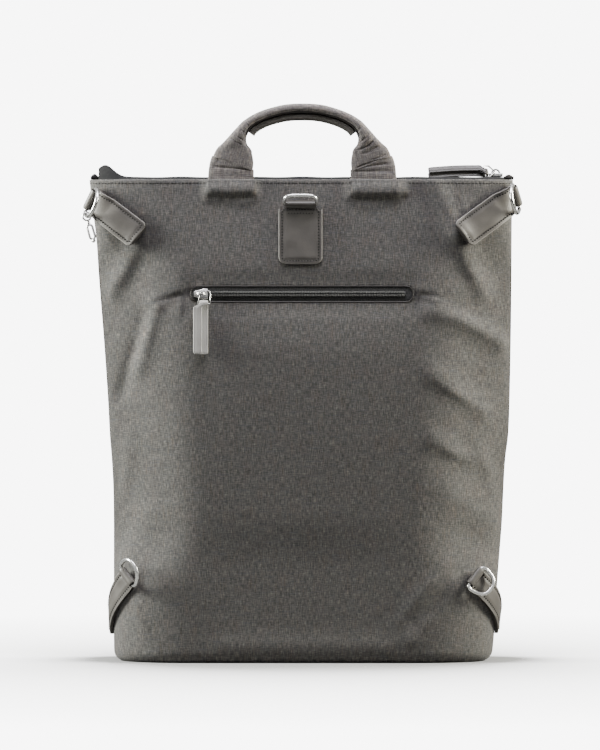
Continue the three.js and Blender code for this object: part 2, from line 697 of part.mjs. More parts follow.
/** A leather tab: a patch that follows the panel and a round fold for the ring's bar. */
function leatherTab(tab) {
  const { length, stepS, stepZ, matrix } = foldFrame(tab);
  const top = tabLift + tabThickness;
  const middle = tabLift + foldOuter;
  const meet = Math.asin((middle - top) / foldOuter);
  const foldBack = length - foldOuter * Math.cos(meet);
  const round = tab.width * patchRounding;
  const places = [0, 0.3 * round, round];
  for (let k = 1; k <= 6; k += 1) places.push(THREE.MathUtils.lerp(round, foldBack, k / 6));
  const shape = new THREE.Shape();
  shape.moveTo(0, tabLift);
  for (const t of places.slice(1)) shape.lineTo(t, tabLift);
  shape.absarc(length, middle, foldOuter, -quarterTurn, 2 * quarterTurn + meet, false);
  for (const t of places.slice().reverse()) shape.lineTo(t, top);
  shape.closePath();
  const bore = new THREE.Path();
  bore.absarc(length, middle, ringWire + barClearance, 0, 4 * quarterTurn, true);
  shape.holes.push(bore);
  const geometry = new THREE.ExtrudeGeometry(
    shape, { depth: 1, steps: 3, bevelEnabled: false, curveSegments: 5 });
  const position = geometry.attributes.position;
  const point = new THREE.Vector3();
  for (let i = 0; i < position.count; i += 1) {
    const t = position.getX(i);
    const height = position.getY(i);
    const shoulder = THREE.MathUtils.smoothstep(t, foldBack - patchShoulder, foldBack);
    const cut = round - Math.sqrt(round * round - Math.max(round - t, 0) ** 2);
    const width = THREE.MathUtils.lerp(tab.width, tab.foldWidth, shoulder) - 2 * cut;
    const across = (position.getZ(i) - 0.5) * width;
    const rigid = new THREE.Vector3(t - length, height, across).applyMatrix4(matrix);
    const place = nearPlace(tab.endS + stepS * t + stepZ * across,
      tab.endZ + stepZ * t - stepS * across);
    const lift = height + tab.bow * Math.sin(Math.PI * THREE.MathUtils.clamp(t / length, 0, 1));
    point.copy(place.point).addScaledVector(place.normal, lift);
    point.lerp(rigid, THREE.MathUtils.smoothstep(t, foldBack - 4 * foldOuter, foldBack));
    position.setXYZ(i, point.x, point.y, point.z);
  }
  return geometry;
}

/** A place on a D-ring's arc, from a quarter turn at one end of its bar to the other. */
function arcPlace(tab, turn) {
  const squareness = 0.8;
  const half = tab.foldWidth / 2 + ringOverhang;
  return new THREE.Vector3(
    tab.reach * Math.cos(turn) ** squareness, 0,
    Math.sign(turn) * half * Math.abs(Math.sin(turn)) ** squareness);
}

/** A D-ring with its bar along Z at the origin and its arc reaching along X. */
function dRing(tab) {
  const half = tab.foldWidth / 2 + ringOverhang;
  const barStations = 2;
  const arcStations = 13;
  const points = [];
  for (let k = 0; k <= barStations; k += 1) {
    const share = 2 * k / barStations - 1;
    points.push(new THREE.Vector3(0, 0, share * (half - ringWire)));
  }
  for (let k = 0; k <= arcStations; k += 1) {
    points.push(arcPlace(tab, quarterTurn * 0.93 * (1 - 2 * k / arcStations)));
  }
  return closedWire(points, ringWire, 7);
}

/** The small slotted metal pull that hangs by its eye from the upper left ring. */
function hangingPull() {
  const eye = closedWire(Array.from({ length: 10 }, (_, k) => {
    const turn = k / 10 * 4 * quarterTurn;
    return new THREE.Vector3(eyeRadius * Math.cos(turn), eyeRadius * Math.sin(turn), 0);
  }), dropWire);
  const neck = slicedBody([
    { along: eyeRadius + 0.4, halfWidth: 1.3, halfHeight: 0.9 },
    { along: eyeRadius + dropNeck + 1, halfWidth: 1.6, halfHeight: 1 },
  ]);
  const slot = ovalLoop(dropSlotLength, dropSlotWidth, dropWire * 1.15);
  slot.translate(eyeRadius + dropNeck + dropSlotLength / 2, 0, 0);
  const ball = new THREE.SphereGeometry(dropBall, 7, 5);
  ball.deleteAttribute('normal');
  ball.deleteAttribute('uv');
  const round = mergeVertices(ball);
  round.translate(eyeRadius + dropNeck + dropSlotLength + dropBall * 0.7, 0, 0);
  const solid = [neck, slot, round].reduce(
    (whole, piece) => whole.add(toSolid(piece)), toSolid(eye));
  return toGeometry(solid);
}

/** The middle line, thickness and breadth of the handle at a share of its length. */
function handlePlace(share) {
  const side = share < 0.5 ? -1 : 1;
  const at = share < 0.5 ? share * 2 : (1 - share) * 2;
  const value = (column) => smoothColumn(handleStations, column, at);
  const rise = value('rise');
  return {
    point: new THREE.Vector3(
      handleMiddleX + side * value('away') * handleSpan / 2,
      handleEndY,
      bodyHeight + rise * (rise < 0 ? handleEndDepth : handleRise)),
    halfThickness: value('thickness') * handleEndWidth / 2,
    halfBreadth: value('breadth') * gripBreadth / 2,
  };
}

/** A strap along the handle's line between two shares of it, moved inwards by an offset. */
function handleStrap(start, end, steps, shapeAt) {
  const rings = [];
  for (let i = 0; i <= steps; i += 1) {
    const share = THREE.MathUtils.lerp(start, end, i / steps);
    const here = handlePlace(share);
    const step = 0.004;
    const along = new THREE.Vector3().subVectors(
      handlePlace(share + step).point, handlePlace(share - step).point).normalize();
    const outward = new THREE.Vector3().crossVectors(new THREE.Vector3(0, 1, 0), along).negate();
    rings.push(shapeAt(here).map(([thick, broad]) => here.point.clone()
      .addScaledVector(outward, thick)
      .add(new THREE.Vector3(0, broad, 0))));
  }
  return sweepRings(rings);
}

/** Points round an oval section, squarer than an ellipse, as pairs of thickness and breadth. */
function ovalSection(thick, broad, count = 10) {
  const squareness = 0.75;
  return Array.from({ length: count }, (_, k) => {
    const turn = (k + 0.5) / count * 4 * quarterTurn;
    return [
      Math.sign(Math.cos(turn)) * thick * Math.abs(Math.cos(turn)) ** squareness,
      Math.sign(Math.sin(turn)) * broad * Math.abs(Math.sin(turn)) ** squareness,
    ];
  });
}

/** The end of the zip tape, folded up past the teeth at one end of the closure. */
function zipEnd(innerX, outerX, rise) {
  const middleY = topNearY + topDepth / 2;
  const half = zipEndWidth / 2;
  const low = bodyHeight + seamGap;
  const rings = [0, 0.25, 0.75, 1].map((share) => {
    const x = THREE.MathUtils.lerp(innerX, outerX, share);
    const lift = rise * (0.55 + 0.45 * Math.sin(Math.PI * share));
    return [[-half, 0], [half, 0], [half, 0.7 * lift], [0.6 * half, lift], [-0.6 * half, lift],
      [-half, 0.7 * lift]].map(([y, h]) => new THREE.Vector3(x, middleY + y, low + h));
  });
  return sweepRings(rings);
}

/** Puts a group in place with its X, Y and Z axes along the given directions. */
function placedGroup(origin, along, outward) {
  const x = along.clone().normalize();
  const y = outward.clone().addScaledVector(x, -outward.dot(x)).normalize();
  const z = new THREE.Vector3().crossVectors(x, y);
  const group = new THREE.Group();
  group.applyMatrix4(new THREE.Matrix4().makeBasis(x, y, z).setPosition(origin));
  backpack.add(group);
  return group;
}

addPart('back_panel', backPanel(), 'fabric');
addPart('front_panel', frontPanel(), 'fabric');
addPart('gusset_left', gusset(-1), 'fabric');
addPart('gusset_right', gusset(1), 'fabric');
addPart('base_panel', basePanel(), 'fabric');

// Zip closure of the top with its two ends.
addPart('top_band_back', closureBand(-1), 'band');
addPart('top_band_front', closureBand(1), 'band');
addPart('top_teeth', closureTeeth(), 'teeth');
const closureReach = topHalfWidth - bandEndInset - wall;
addPart('zip_end_left', zipEnd(-closureReach - seamGap, 1 - topHalfWidth, zipEndRise.left), 'fabric');
addPart('zip_end_right', zipEnd(closureReach + seamGap, topHalfWidth + 1, zipEndRise.right), 'fabric');

// Grab handle with the darker strip closed into its grip.
addPart('grab_handle', handleStrap(0, 1, 36, (here) => (
  ovalSection(here.halfThickness, here.halfBreadth))), 'handleFabric');
addPart('grip_strip', handleStrap(gripStripStart, 1 - gripStripStart, 16, (here) => {
  const offset = here.halfThickness + gripStripGap + gripStripThickness / 2;
  return ovalSection(gripStripThickness / 2, gripStripBreadth / 2, 8)
    .map(([thick, broad]) => [thick - offset, broad]);
}), 'gripStrip');

// Pocket zip in the window of the back panel.
const pocketSliderX = pocketMiddleX - pocketLength / 2 + pocketSliderInset;
const pocketY = section(pocketMiddleZ).nearY + 0.4 * wall;
addPart('pocket_tape', stadium(
  pocketLength - 2 * seamGap, pocketHeight - 2 * seamGap, pocketTapeThickness, pocketY), 'band');
const pocketTeethStart = pocketSliderX + sliderLength / 2 + seamGap;
const pocketTeethLength = pocketMiddleX + pocketLength / 2 - pocketHeight / 2 - pocketTeethStart;
const pocketTeeth = slicedBody([0, 1].map((share) => ({
  along: pocketTeethStart + share * pocketTeethLength,
  halfWidth: 0.9,
  halfHeight: pocketTeethWidth / 2,
})));
pocketTeeth.translate(0, pocketY - seamGap - 0.9, pocketMiddleZ);
addPart('pocket_teeth', pocketTeeth, 'teeth');

const panelLean = (topNearY - baseNearY) / bodyHeight;
const bridgeMiddle = 0.5 * (0.84 * sliderHeight + 0.62 * sliderHeight + bridgeClearHeight);
const eyeToFront = pullLegThickness + linkWire + linkClearance;

// Pocket slider on the tape, its link through the bridge and the folded leather pull below it.
const pocketNearY = pocketY - seamGap;
const pocketSlider = placedGroup(
  new THREE.Vector3(pocketSliderX, pocketNearY, pocketMiddleZ),
  new THREE.Vector3(1, 0, 0), new THREE.Vector3(0, 0, 1));
addPart('pocket_slider', zipSlider(), 'metal', pocketSlider);
const pocketLinkGroup = placedGroup(
  new THREE.Vector3(pocketSliderX + 0.5 * linkHalfWidth, pocketNearY - bridgeMiddle,
    pocketMiddleZ - pocketLinkDrop * linkLength),
  new THREE.Vector3(1, 0, 0), new THREE.Vector3(0, 0, 1));
const pocketLink = [[-1, 0], [1, 0], [1, 0.85], [0.8, 1], [-0.3, 1], [-0.5, 0.85]].map(
  ([x, y]) => new THREE.Vector3(x * linkHalfWidth, y * linkLength, 0));
addPart('pocket_link', closedWire(pocketLink, linkWire), 'metal', pocketLinkGroup);
const pocketPullGroup = placedGroup(
  new THREE.Vector3(pocketSliderX + 0.5 * linkHalfWidth, pocketNearY - bridgeMiddle,
    pocketMiddleZ - pocketLinkDrop * linkLength),
  new THREE.Vector3(0, -pocketPullLean * panelLean, -1), new THREE.Vector3(0, -1, 0));
addPart('pocket_pull', foldedPull(pocketPullLength, 0), 'paleLeather', pocketPullGroup);

// Top slider at the right end of the closure, its twisted link and its leather pull.
const topSliderX = topHalfWidth - topSliderInset;
const topSliderZ = bodyHeight + closureRise(topSliderX) + 0.4 * teethThickness + seamGap;
const closureMiddleY = topNearY + topDepth / 2;
const topSlider = placedGroup(
  new THREE.Vector3(topSliderX, closureMiddleY, topSliderZ),
  new THREE.Vector3(1, 0, 0), new THREE.Vector3(0, 1, 0));
addPart('top_slider', zipSlider(), 'metal', topSlider);
const topEye = new THREE.Vector3(
  topSliderX - topLinkLength, closureMiddleY - topPullForward, topSliderZ + bridgeMiddle + topPullLift);
const pullLean = new THREE.Vector3(0, -Math.cos(topLinkTwist), Math.sin(topLinkTwist));
const topPullGroup = placedGroup(topEye, new THREE.Vector3(-1, topPullTurn, topPullSlope), pullLean);
addPart('top_pull', foldedPull(topPullLength, topPullArch), 'leather', topPullGroup);
const topAcross = new THREE.Vector3(0, 0, 1).transformDirection(topPullGroup.matrix);
const farBar = new THREE.Vector3(topSliderX - 0.6, closureMiddleY, topSliderZ + bridgeMiddle);
const besideFold = new THREE.Vector3(eyeToFront + linkClearance, 0, 0);
const topLink = [
  topEye.clone().addScaledVector(topAcross, -linkHalfWidth),
  topEye.clone().addScaledVector(topAcross, linkHalfWidth),
  topEye.clone().addScaledVector(topAcross, linkHalfWidth).add(besideFold),
  farBar.clone().add(new THREE.Vector3(0, topLinkNarrowing * linkHalfWidth, 0)),
  farBar.clone().add(new THREE.Vector3(0, -topLinkNarrowing * linkHalfWidth, 0)),
  topEye.clone().addScaledVector(topAcross, -linkHalfWidth).add(besideFold),
];
addPart('top_link', closedWire(topLink, linkWire), 'metal');

// Leather tabs, each with the ring that turns on its bar in the fold.
const rings = {};
for (const tab of tabs) {
  addPart(`tab_${tab.name}`, leatherTab(tab), 'leather');
  const hinge = new THREE.Group();
  hinge.applyMatrix4(foldFrame(tab).matrix);
  backpack.add(hinge);
  const ring = addPart(`ring_${tab.name}`, dRing(tab), 'metal', hinge);
  ring.position.y = tabLift + foldOuter;
  ring.rotation.z = THREE.MathUtils.degToRad(tab.angle);
  rings[tab.name] = ring;
}

// Metal drop on the upper left ring, hanging down beside the patch.
backpack.updateMatrixWorld(true);
const leftTab = tabs.find((tab) => tab.name === 'top_left');
const hold = rings.top_left.localToWorld(arcPlace(leftTab, dropTurn));
const holdNext = rings.top_left.localToWorld(arcPlace(leftTab, dropTurn - 0.1));
const hang = new THREE.Vector3(dropLean, -0.06, -1).normalize();
const dropSlack = eyeRadius - dropWire - ringWire - barClearance;
const wireWay = holdNext.sub(hold).normalize();
const dropGroup = placedGroup(
  hold.clone().addScaledVector(hang, dropSlack), hang, wireWay.cross(hang));
addPart('ring_drop', hangingPull(), 'metal', dropGroup);

export default backpack;
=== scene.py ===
"""Looks of the convertible backpack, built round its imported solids.

Every place is worked out in millimetres from the sizes below, in the frame of the solids
(+X right on the photographed face, -Y towards the wearer, +Z up), and is made in metres.
"""

import logging
import math
from dataclasses import dataclass, field
from enum import Enum
from typing import Optional, Union

import bmesh
import bpy
import numpy as np
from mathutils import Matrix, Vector

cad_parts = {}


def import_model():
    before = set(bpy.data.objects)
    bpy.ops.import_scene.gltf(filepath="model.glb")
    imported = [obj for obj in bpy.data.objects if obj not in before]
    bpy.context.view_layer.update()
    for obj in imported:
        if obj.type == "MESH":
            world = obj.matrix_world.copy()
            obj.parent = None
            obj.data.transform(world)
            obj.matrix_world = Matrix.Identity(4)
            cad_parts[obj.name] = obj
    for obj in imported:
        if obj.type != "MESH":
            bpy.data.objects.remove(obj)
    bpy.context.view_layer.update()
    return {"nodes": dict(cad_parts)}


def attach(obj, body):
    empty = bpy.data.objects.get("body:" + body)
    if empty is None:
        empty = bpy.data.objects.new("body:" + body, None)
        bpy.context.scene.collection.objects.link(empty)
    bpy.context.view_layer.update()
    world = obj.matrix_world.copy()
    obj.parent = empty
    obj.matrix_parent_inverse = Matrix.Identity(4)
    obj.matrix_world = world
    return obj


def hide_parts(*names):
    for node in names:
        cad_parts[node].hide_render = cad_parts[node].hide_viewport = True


Array = np.ndarray
Triple = tuple[float, float, float]
Colour = Triple
Socket = bpy.types.NodeSocket
Value = Union[Socket, Triple, float]
BAG = "bag"
MM = 0.001
CLOTH_UNIT = 100.0
QUARTER = math.pi / 2
UP = np.array((0.0, 0.0, 1.0))
AWAY = np.array((0.0, 1.0, 0.0))
log = logging.getLogger("backpack")


def smoothstep(x: Array, low: float, high: float) -> Array:
    """0 below low, 1 above high and a smooth rise between them."""
    t = np.clip((np.asarray(x, float) - low) / (high - low), 0.0, 1.0)
    return t * t * (3 - 2 * t)


def lerp(a: float, b: float, t: Array) -> Array:
    """The place a share t of the way from a to b."""
    return a + (b - a) * t


def unit(v: Array) -> Array:
    """The vectors of v at length 1."""
    v = np.asarray(v, float)
    return v / np.maximum(np.linalg.norm(v, axis=-1, keepdims=True), 1e-12)


def bell(x: Array, middle: float, breadth: float) -> Array:
    """A smooth bump of height 1 at middle."""
    return np.exp(-(((np.asarray(x, float) - middle) / breadth) ** 2))


def smooth_column(at: Array, values: Array, place: Array) -> Array:
    """A smooth curve through the rows of a table.

    Args:
        at: where each row is.
        values: the value of each row.
        place: where values are wanted.

    Returns:
        The value at each place.
    """
    at, values = np.asarray(at, float), np.asarray(values, float)
    place = np.asarray(place, float)
    last = len(at) - 1
    before = np.maximum(np.arange(last + 1) - 1, 0)
    after = np.minimum(np.arange(last + 1) + 1, last)
    slope = (values[after] - values[before]) / (at[after] - at[before])
    k = np.clip(np.searchsorted(at, place, side="left") - 1, 0, last - 1)
    span = at[k + 1] - at[k]
    t = np.clip((place - at[k]) / span, 0.0, 1.0)
    t2, t3 = t * t, t * t * t
    return ((2 * t3 - 3 * t2 + 1) * values[k] + (t3 - 2 * t2 + t) * span * slope[k]
            + (3 * t2 - 2 * t3) * values[k + 1] + (t3 - t2) * span * slope[k + 1])


def ripple(x: Array, y: Array, seed: int, size: float) -> Array:
    """A smooth irregular surface between -1 and 1, the same on each run.

    Args:
        x: places along one way.
        y: places along the other way.
        seed: which surface.
        size: the breadth of its swells.

    Returns:
        Its height at each place.
    """
    waves = 7
    chance = np.random.default_rng(seed)
    total = np.zeros(np.broadcast(x, y).shape)
    for _ in range(waves):
        turn = chance.uniform(0, math.tau)
        wave = size * chance.uniform(0.7, 1.7)
        phase = chance.uniform(0, math.tau)
        total = total + np.sin(math.tau * (x * math.cos(turn) + y * math.sin(turn)) / wave + phase)
    return total / (0.6 * waves)


def beside(x: Array, z: Array, dx: float, dz: float) -> tuple[Array, Array]:
    """Where places lie beside a straight line that starts at 0.

    Args:
        x: the places across.
        z: the places up.
        dx: the line's reach across.
        dz: the line's reach up.

    Returns:
        The share along the line that is nearest, and how far off it is.
    """
    t = np.clip((x * dx + z * dz) / (dx * dx + dz * dz), 0, 1)
    return t, np.hypot(x - t * dx, z - t * dz)


def lengths_along(path: Array) -> Array:
    """The length run at each place of a path."""
    steps = np.linalg.norm(np.diff(path, axis=0), axis=-1)
    return np.concatenate(([0.0], np.cumsum(steps)))


def places_at(at: Array, along: Array, path: Array) -> Array:
    """The places at given lengths along a path."""
    return np.stack([np.interp(at, along, path[:, k]) for k in range(3)], axis=-1)


def squared(wave: Array, power: float) -> Array:
    """A sine or cosine filled out towards a square."""
    return np.sign(wave) * np.abs(wave) ** power


def side_name(side: int) -> str:
    """The name of a side, below 0 for the left."""
    return "left" if side < 0 else "right"


class Edge(Enum):
    """How the ends of a sweep are finished."""

    FLAT = "flat"
    LOOP = "loop"


@dataclass
class MeshSketch:
    """Points, faces and cloth coordinates of a piece while it is being made."""

    points: list[Array] = field(default_factory=list)
    faces: list[tuple[int, ...]] = field(default_factory=list)
    cloth: list[Array] = field(default_factory=list)
    finish: list[int] = field(default_factory=list)
    count: int = 0

    def add(self, points: Array, faces: list[tuple[int, ...]], cloth: Optional[Array] = None,
            finish: int = 0) -> int:
        """Adds points and faces.

        Args:
            points: an N by 3 array in millimetres.
            faces: corners of each face, counted within points.
            cloth: an N by 2 array of places on the cloth in millimetres.
            finish: which of the piece's finishes the faces take.

        Returns:
            The number of the first point added.
        """
        points = np.asarray(points, float).reshape(-1, 3)
        start = self.count
        self.points.append(points)
        self.cloth.append(points[:, [0, 2]] if cloth is None else np.asarray(cloth, float))
        self.faces.extend(tuple(start + i for i in face) for face in faces)
        self.finish.extend([finish] * len(faces))
        self.count += len(points)
        return start

    def grid(self, places: Array, cloth: Optional[Array] = None, finish: int = 0,
             around: bool = False, keep: Optional[Array] = None) -> None:
        """Adds a grid of points as a skin of four-cornered faces.

        Args:
            places: a rows by columns by 3 array.
            cloth: a rows by columns by 2 array.
            finish: which of the piece's finishes the faces take.
            around: whether the last column is joined to the first.
            keep: a mask of the faces that are made.
        """
        rows, columns = places.shape[:2]
        reach = columns if around else columns - 1
        faces = []
        for j in range(rows - 1):
            for i in range(reach):
                if keep is not None and not keep[j, i]:
                    continue
                k = (i + 1) % columns
                faces.append((j * columns + i, j * columns + k,
                              (j + 1) * columns + k, (j + 1) * columns + i))
        self.add(places.reshape(-1, 3), faces,
                 None if cloth is None else cloth.reshape(-1, 2), finish)

    def sweep(self, rings: Array, ends: Edge = Edge.FLAT, finish: int = 0,
              cloth: Optional[Array] = None) -> None:
        """Joins rings of equal count into a tube.

        Args:
            rings: a rings by points by 3 array.
            ends: how its ends are finished.
            finish: which of the piece's finishes the faces take.
            cloth: a rings by points by 2 array of places on the cloth.
        """
        rings = np.asarray(rings, float)
        rows, count = rings.shape[:2]
        faces = []
        spans = rows if ends is Edge.LOOP else rows - 1
        for j in range(spans):
            n = (j + 1) % rows
            for i in range(count):
                k = (i + 1) % count
                faces.append((j * count + i, j * count + k, n * count + k, n * count + i))
        if ends is Edge.FLAT:
            faces.append(tuple(range(count))[::-1])
            faces.append(tuple((rows - 1) * count + i for i in range(count)))
        if cloth is None:
            cloth = np.stack(np.meshgrid(lengths_along(rings.mean(axis=1)),
                                         lengths_along(rings[0]), indexing="ij"), axis=-1)
        self.add(rings.reshape(-1, 3), faces, cloth.reshape(-1, 2), finish)

    def build(self, name: str, finishes: list[bpy.types.Material],
              crease: float = 38.0, weld: float = 0.0) -> bpy.types.Object:
        """Makes the piece.

        Args:
            name: the piece's name.
            finishes: its materials.
            crease: the angle in degrees past which an edge stays sharp.
            weld: joins points closer than this many millimetres.

        Returns:
            The Blender object.
        """
        points = np.concatenate(self.points)
        cloth = np.concatenate(self.cloth)
        mesh = bpy.data.meshes.new(name)
        mesh.from_pydata((points * MM).tolist(), [], self.faces)
        layer = mesh.uv_layers.new(name="cloth")
        corners = np.empty(len(mesh.loops), dtype=np.int32)
        mesh.loops.foreach_get("vertex_index", corners)
        layer.data.foreach_set("uv", (cloth[corners] / CLOTH_UNIT).astype(np.float32).ravel())
        for material in finishes:
            mesh.materials.append(material)
        mesh.polygons.foreach_set("material_index", np.array(self.finish, dtype=np.int32))
        mesh.polygons.foreach_set("use_smooth", np.ones(len(mesh.polygons), dtype=bool))
        mesh.validate()
        piece = bpy.data.objects.new(name, mesh)
        bpy.context.scene.collection.objects.link(piece)
        tidy_normals(mesh, weld)
        mesh.set_sharp_from_angle(angle=math.radians(crease))
        mesh.update()
        return piece


def tidy_normals(mesh: bpy.types.Mesh, weld: float) -> None:
    """Welds close points and turns the faces of closed bodies outwards.

    Args:
        mesh: the mesh to tidy.
        weld: joins points closer than this many millimetres.
    """
    work = bmesh.new()
    work.from_mesh(mesh)
    if weld:
        bmesh.ops.remove_doubles(work, verts=work.verts, dist=weld * MM)
    bmesh.ops.recalc_face_normals(work, faces=work.faces)
    work.to_mesh(mesh)
    work.free()


class NodeTree:
    """Short calls that lay out the nodes of one material."""

    def __init__(self, name: str) -> None:
        """Starts a material with its shader and output."""
        self.material = bpy.data.materials.new(name)
        self.material.use_nodes = True
        self.nodes = self.material.node_tree.nodes
        self.links = self.material.node_tree.links
        self.shader = self.nodes["Principled BSDF"]

    def node(self, kind: str, **settings: object) -> bpy.types.Node:
        """Adds a node and sets its properties."""
        made = self.nodes.new(kind)
        for name, value in settings.items():
            setattr(made, name, value)
        return made

    def link(self, source: Socket, target: Socket) -> None:
        """Joins an output to an input."""
        self.links.new(source, target)

    def cloth_place(self, across: float, along: float, turn: float = 0.0) -> Socket:
        """Places on the cloth, stretched.

        Args:
            across: repeats for each millimetre across.
            along: repeats for each millimetre along.
            turn: how far the pattern is turned, in radians.

        Returns:
            The socket with the stretched place.
        """
        place = self.node("ShaderNodeUVMap", uv_map="cloth")
        mapping = self.node("ShaderNodeMapping")
        mapping.inputs["Scale"].default_value = (CLOTH_UNIT * across, CLOTH_UNIT * along, 1.0)
        mapping.inputs["Rotation"].default_value = (0.0, 0.0, turn)
        self.link(place.outputs[0], mapping.inputs["Vector"])
        return mapping.outputs[0]

    def noise(self, place: Socket, scale: float = 1.0, detail: float = 2.0,
              rough: float = 0.5) -> Socket:
        """A noise texture at a place."""
        made = self.node("ShaderNodeTexNoise", noise_dimensions="3D")
        made.inputs["Scale"].default_value = scale
        made.inputs["Detail"].default_value = detail
        made.inputs["Roughness"].default_value = rough
        self.link(place, made.inputs["Vector"])
        return made.outputs["Fac"]

    def solid_place(self, scale: float) -> Socket:
        """Places in the piece itself, in repeats for each millimetre."""
        place = self.node("ShaderNodeTexCoord")
        mapping = self.node("ShaderNodeMapping")
        mapping.inputs["Scale"].default_value = (scale / MM,) * 3
        self.link(place.outputs["Object"], mapping.inputs["Vector"])
        return mapping.outputs[0]

    def multiply(self, a: Value, b: Value) -> Socket:
        """The product of sockets or numbers."""
        return self.sums("MULTIPLY", a, b)

    def sums(self, operation: str, a: Value, b: Value) -> Socket:
        """One step of arithmetic between sockets or numbers."""
        made = self.node("ShaderNodeMath", operation=operation)
        for value, socket in ((a, made.inputs[0]), (b, made.inputs[1])):
            if isinstance(value, (int, float)):
                socket.default_value = value
            else:
                self.link(value, socket)
        return made.outputs[0]

    def spread(self, value: Socket, low: float, high: float, to_low: float = 0.0,
               to_high: float = 1.0) -> Socket:
        """Spreads a range of a value over another range."""
        made = self.node("ShaderNodeMapRange", clamp=True)
        for socket, number in zip(made.inputs[1:5], (low, high, to_low, to_high)):
            socket.default_value = number
        self.link(value, made.inputs[0])
        return made.outputs[0]

    def ramp(self, value: Socket,
             stops: list[tuple[float, Colour]]) -> Socket:
        """Colours by a value."""
        made = self.node("ShaderNodeValToRGB")
        band = made.color_ramp
        while len(band.elements) < len(stops):
            band.elements.new(0.5)
        for element, (at, colour) in zip(band.elements, stops):
            element.position = at
            element.color = (*colour, 1.0)
        self.link(value, made.inputs[0])
        return made.outputs[0]

    def mix(self, share: Value, a: Value, b: Value, blend: str = "MIX") -> Socket:
        """A mix of two colours, each a socket or a colour."""
        made = self.node("ShaderNodeMix", data_type="RGBA", blend_type=blend)
        for value, socket in ((share, made.inputs[0]), (a, made.inputs[6]), (b, made.inputs[7])):
            if isinstance(value, Socket):
                self.link(value, socket)
            elif isinstance(value, tuple):
                socket.default_value = (*value, 1.0)
            else:
                socket.default_value = value
        return made.outputs[2]

    def bump(self, height: Socket, depth: float, strength: float = 1.0,
             under: Optional[Socket] = None) -> Socket:
        """A bump of a depth in millimetres, over another if given."""
        made = self.node("ShaderNodeBump")
        made.inputs["Strength"].default_value = strength
        made.inputs["Distance"].default_value = depth * MM
        self.link(height, made.inputs["Height"])
        if under is not None:
            self.link(under, made.inputs["Normal"])
        return made.outputs[0]

    def finish(self, colour: Value, roughness: Value, bump: Optional[Socket] = None,
               **sockets: float) -> bpy.types.Material:
        """Joins the pattern to the shader.

        Args:
            colour: a socket or a colour.
            roughness: a socket or a number.
            bump: the bumped normal.
            sockets: values for the shader's own sockets, with _ for a space.

        Returns:
            The finished material.
        """
        for value, name in ((colour, "Base Color"), (roughness, "Roughness")):
            socket = self.shader.inputs[name]
            if isinstance(value, Socket):
                self.link(value, socket)
            else:
                socket.default_value = (*value, 1.0) if isinstance(value, tuple) else value
        if bump is not None:
            self.link(bump, self.shader.inputs["Normal"])
        for name, value in sockets.items():
            self.shader.inputs[name.replace("_", " ")].default_value = value
        return self.material


@dataclass(frozen=True)
class MelangeCloth:
    """Grey cloth woven of dark, tan, bluish and pale threads that thicken here and there."""

    name: str
    tone: float = 1.0
    contrast: float = 1.0
    warmth: float = 0.0

    # tan, bluish, rosy and worn places: repeats across and along, detail, from, to, most, colour
    tints = (
        (0.75, 0.05, 2.0, 0.54, 0.68, 0.30, (1.10, 0.86, 0.62)),
        (0.05, 0.70, 2.0, 0.55, 0.70, 0.30, (0.78, 0.90, 1.20)),
        (0.09, 0.05, 3.0, 0.42, 0.70, 0.50, (1.08, 0.97, 0.96)),
        (0.012, 0.016, 3.0, 0.35, 0.65, 0.16, (0.72, 0.72, 0.74)))

    def threads(self, tree: NodeTree, fine: float, long: float) -> Socket:
        """Streaks that run up and across the cloth, laid over each other."""
        warp = tree.noise(tree.cloth_place(fine, long), 1.0, 3.0, 0.62)
        weft = tree.noise(tree.cloth_place(long * 1.3, fine), 1.0, 3.0, 0.62)
        return tree.sums("ADD", tree.multiply(warp, 0.56), tree.multiply(weft, 0.44))

    def weave(self, tree: NodeTree) -> Socket:
        """The over and under of the threads."""
        bands = []
        for way in ("X", "Y"):
            wave = tree.node("ShaderNodeTexWave", wave_type="BANDS", bands_direction=way)
            wave.inputs["Scale"].default_value = 1.0
            wave.inputs["Distortion"].default_value = 0.6
            wave.inputs["Detail"].default_value = 1.0
            tree.link(tree.cloth_place(0.42, 0.42), wave.inputs["Vector"])
            bands.append(wave.outputs["Fac"])
        return tree.multiply(bands[0], bands[1])

    def material(self) -> bpy.types.Material:
        """Makes the material."""
        tree = NodeTree(self.name)
        streaks = self.threads(tree, 1.25, 0.16)
        spread = 0.15 / self.contrast
        share = tree.spread(streaks, 0.5 - spread, 0.5 + spread)
        t = self.tone
        w = 1.0 + self.warmth
        colour = tree.ramp(share, [
            (0.0, (0.043 * t, 0.043 * t, 0.044 * t)),
            (0.42, (0.088 * t * w, 0.086 * t, 0.084 * t)),
            (0.7, (0.136 * t * w, 0.131 * t, 0.122 * t)),
            (1.0, (0.225 * t * w, 0.214 * t, 0.192 * t)),
        ])
        for across, along, detail, low, high, most, tint in self.tints:
            cloud = tree.noise(tree.cloth_place(across, along), 1.0, detail, 0.6)
            colour = tree.mix(tree.spread(cloud, low, high, 0.0, most), colour, tint, "MULTIPLY")
        weave = self.weave(tree)
        bump = tree.bump(streaks, 0.55, 0.55, tree.bump(weave, 0.22, 0.6))
        return tree.finish(colour, tree.spread(streaks, 0.35, 0.65, 0.93, 0.78), bump,
                           Sheen_Weight=0.16, Sheen_Roughness=0.45, Specular_IOR_Level=0.25)


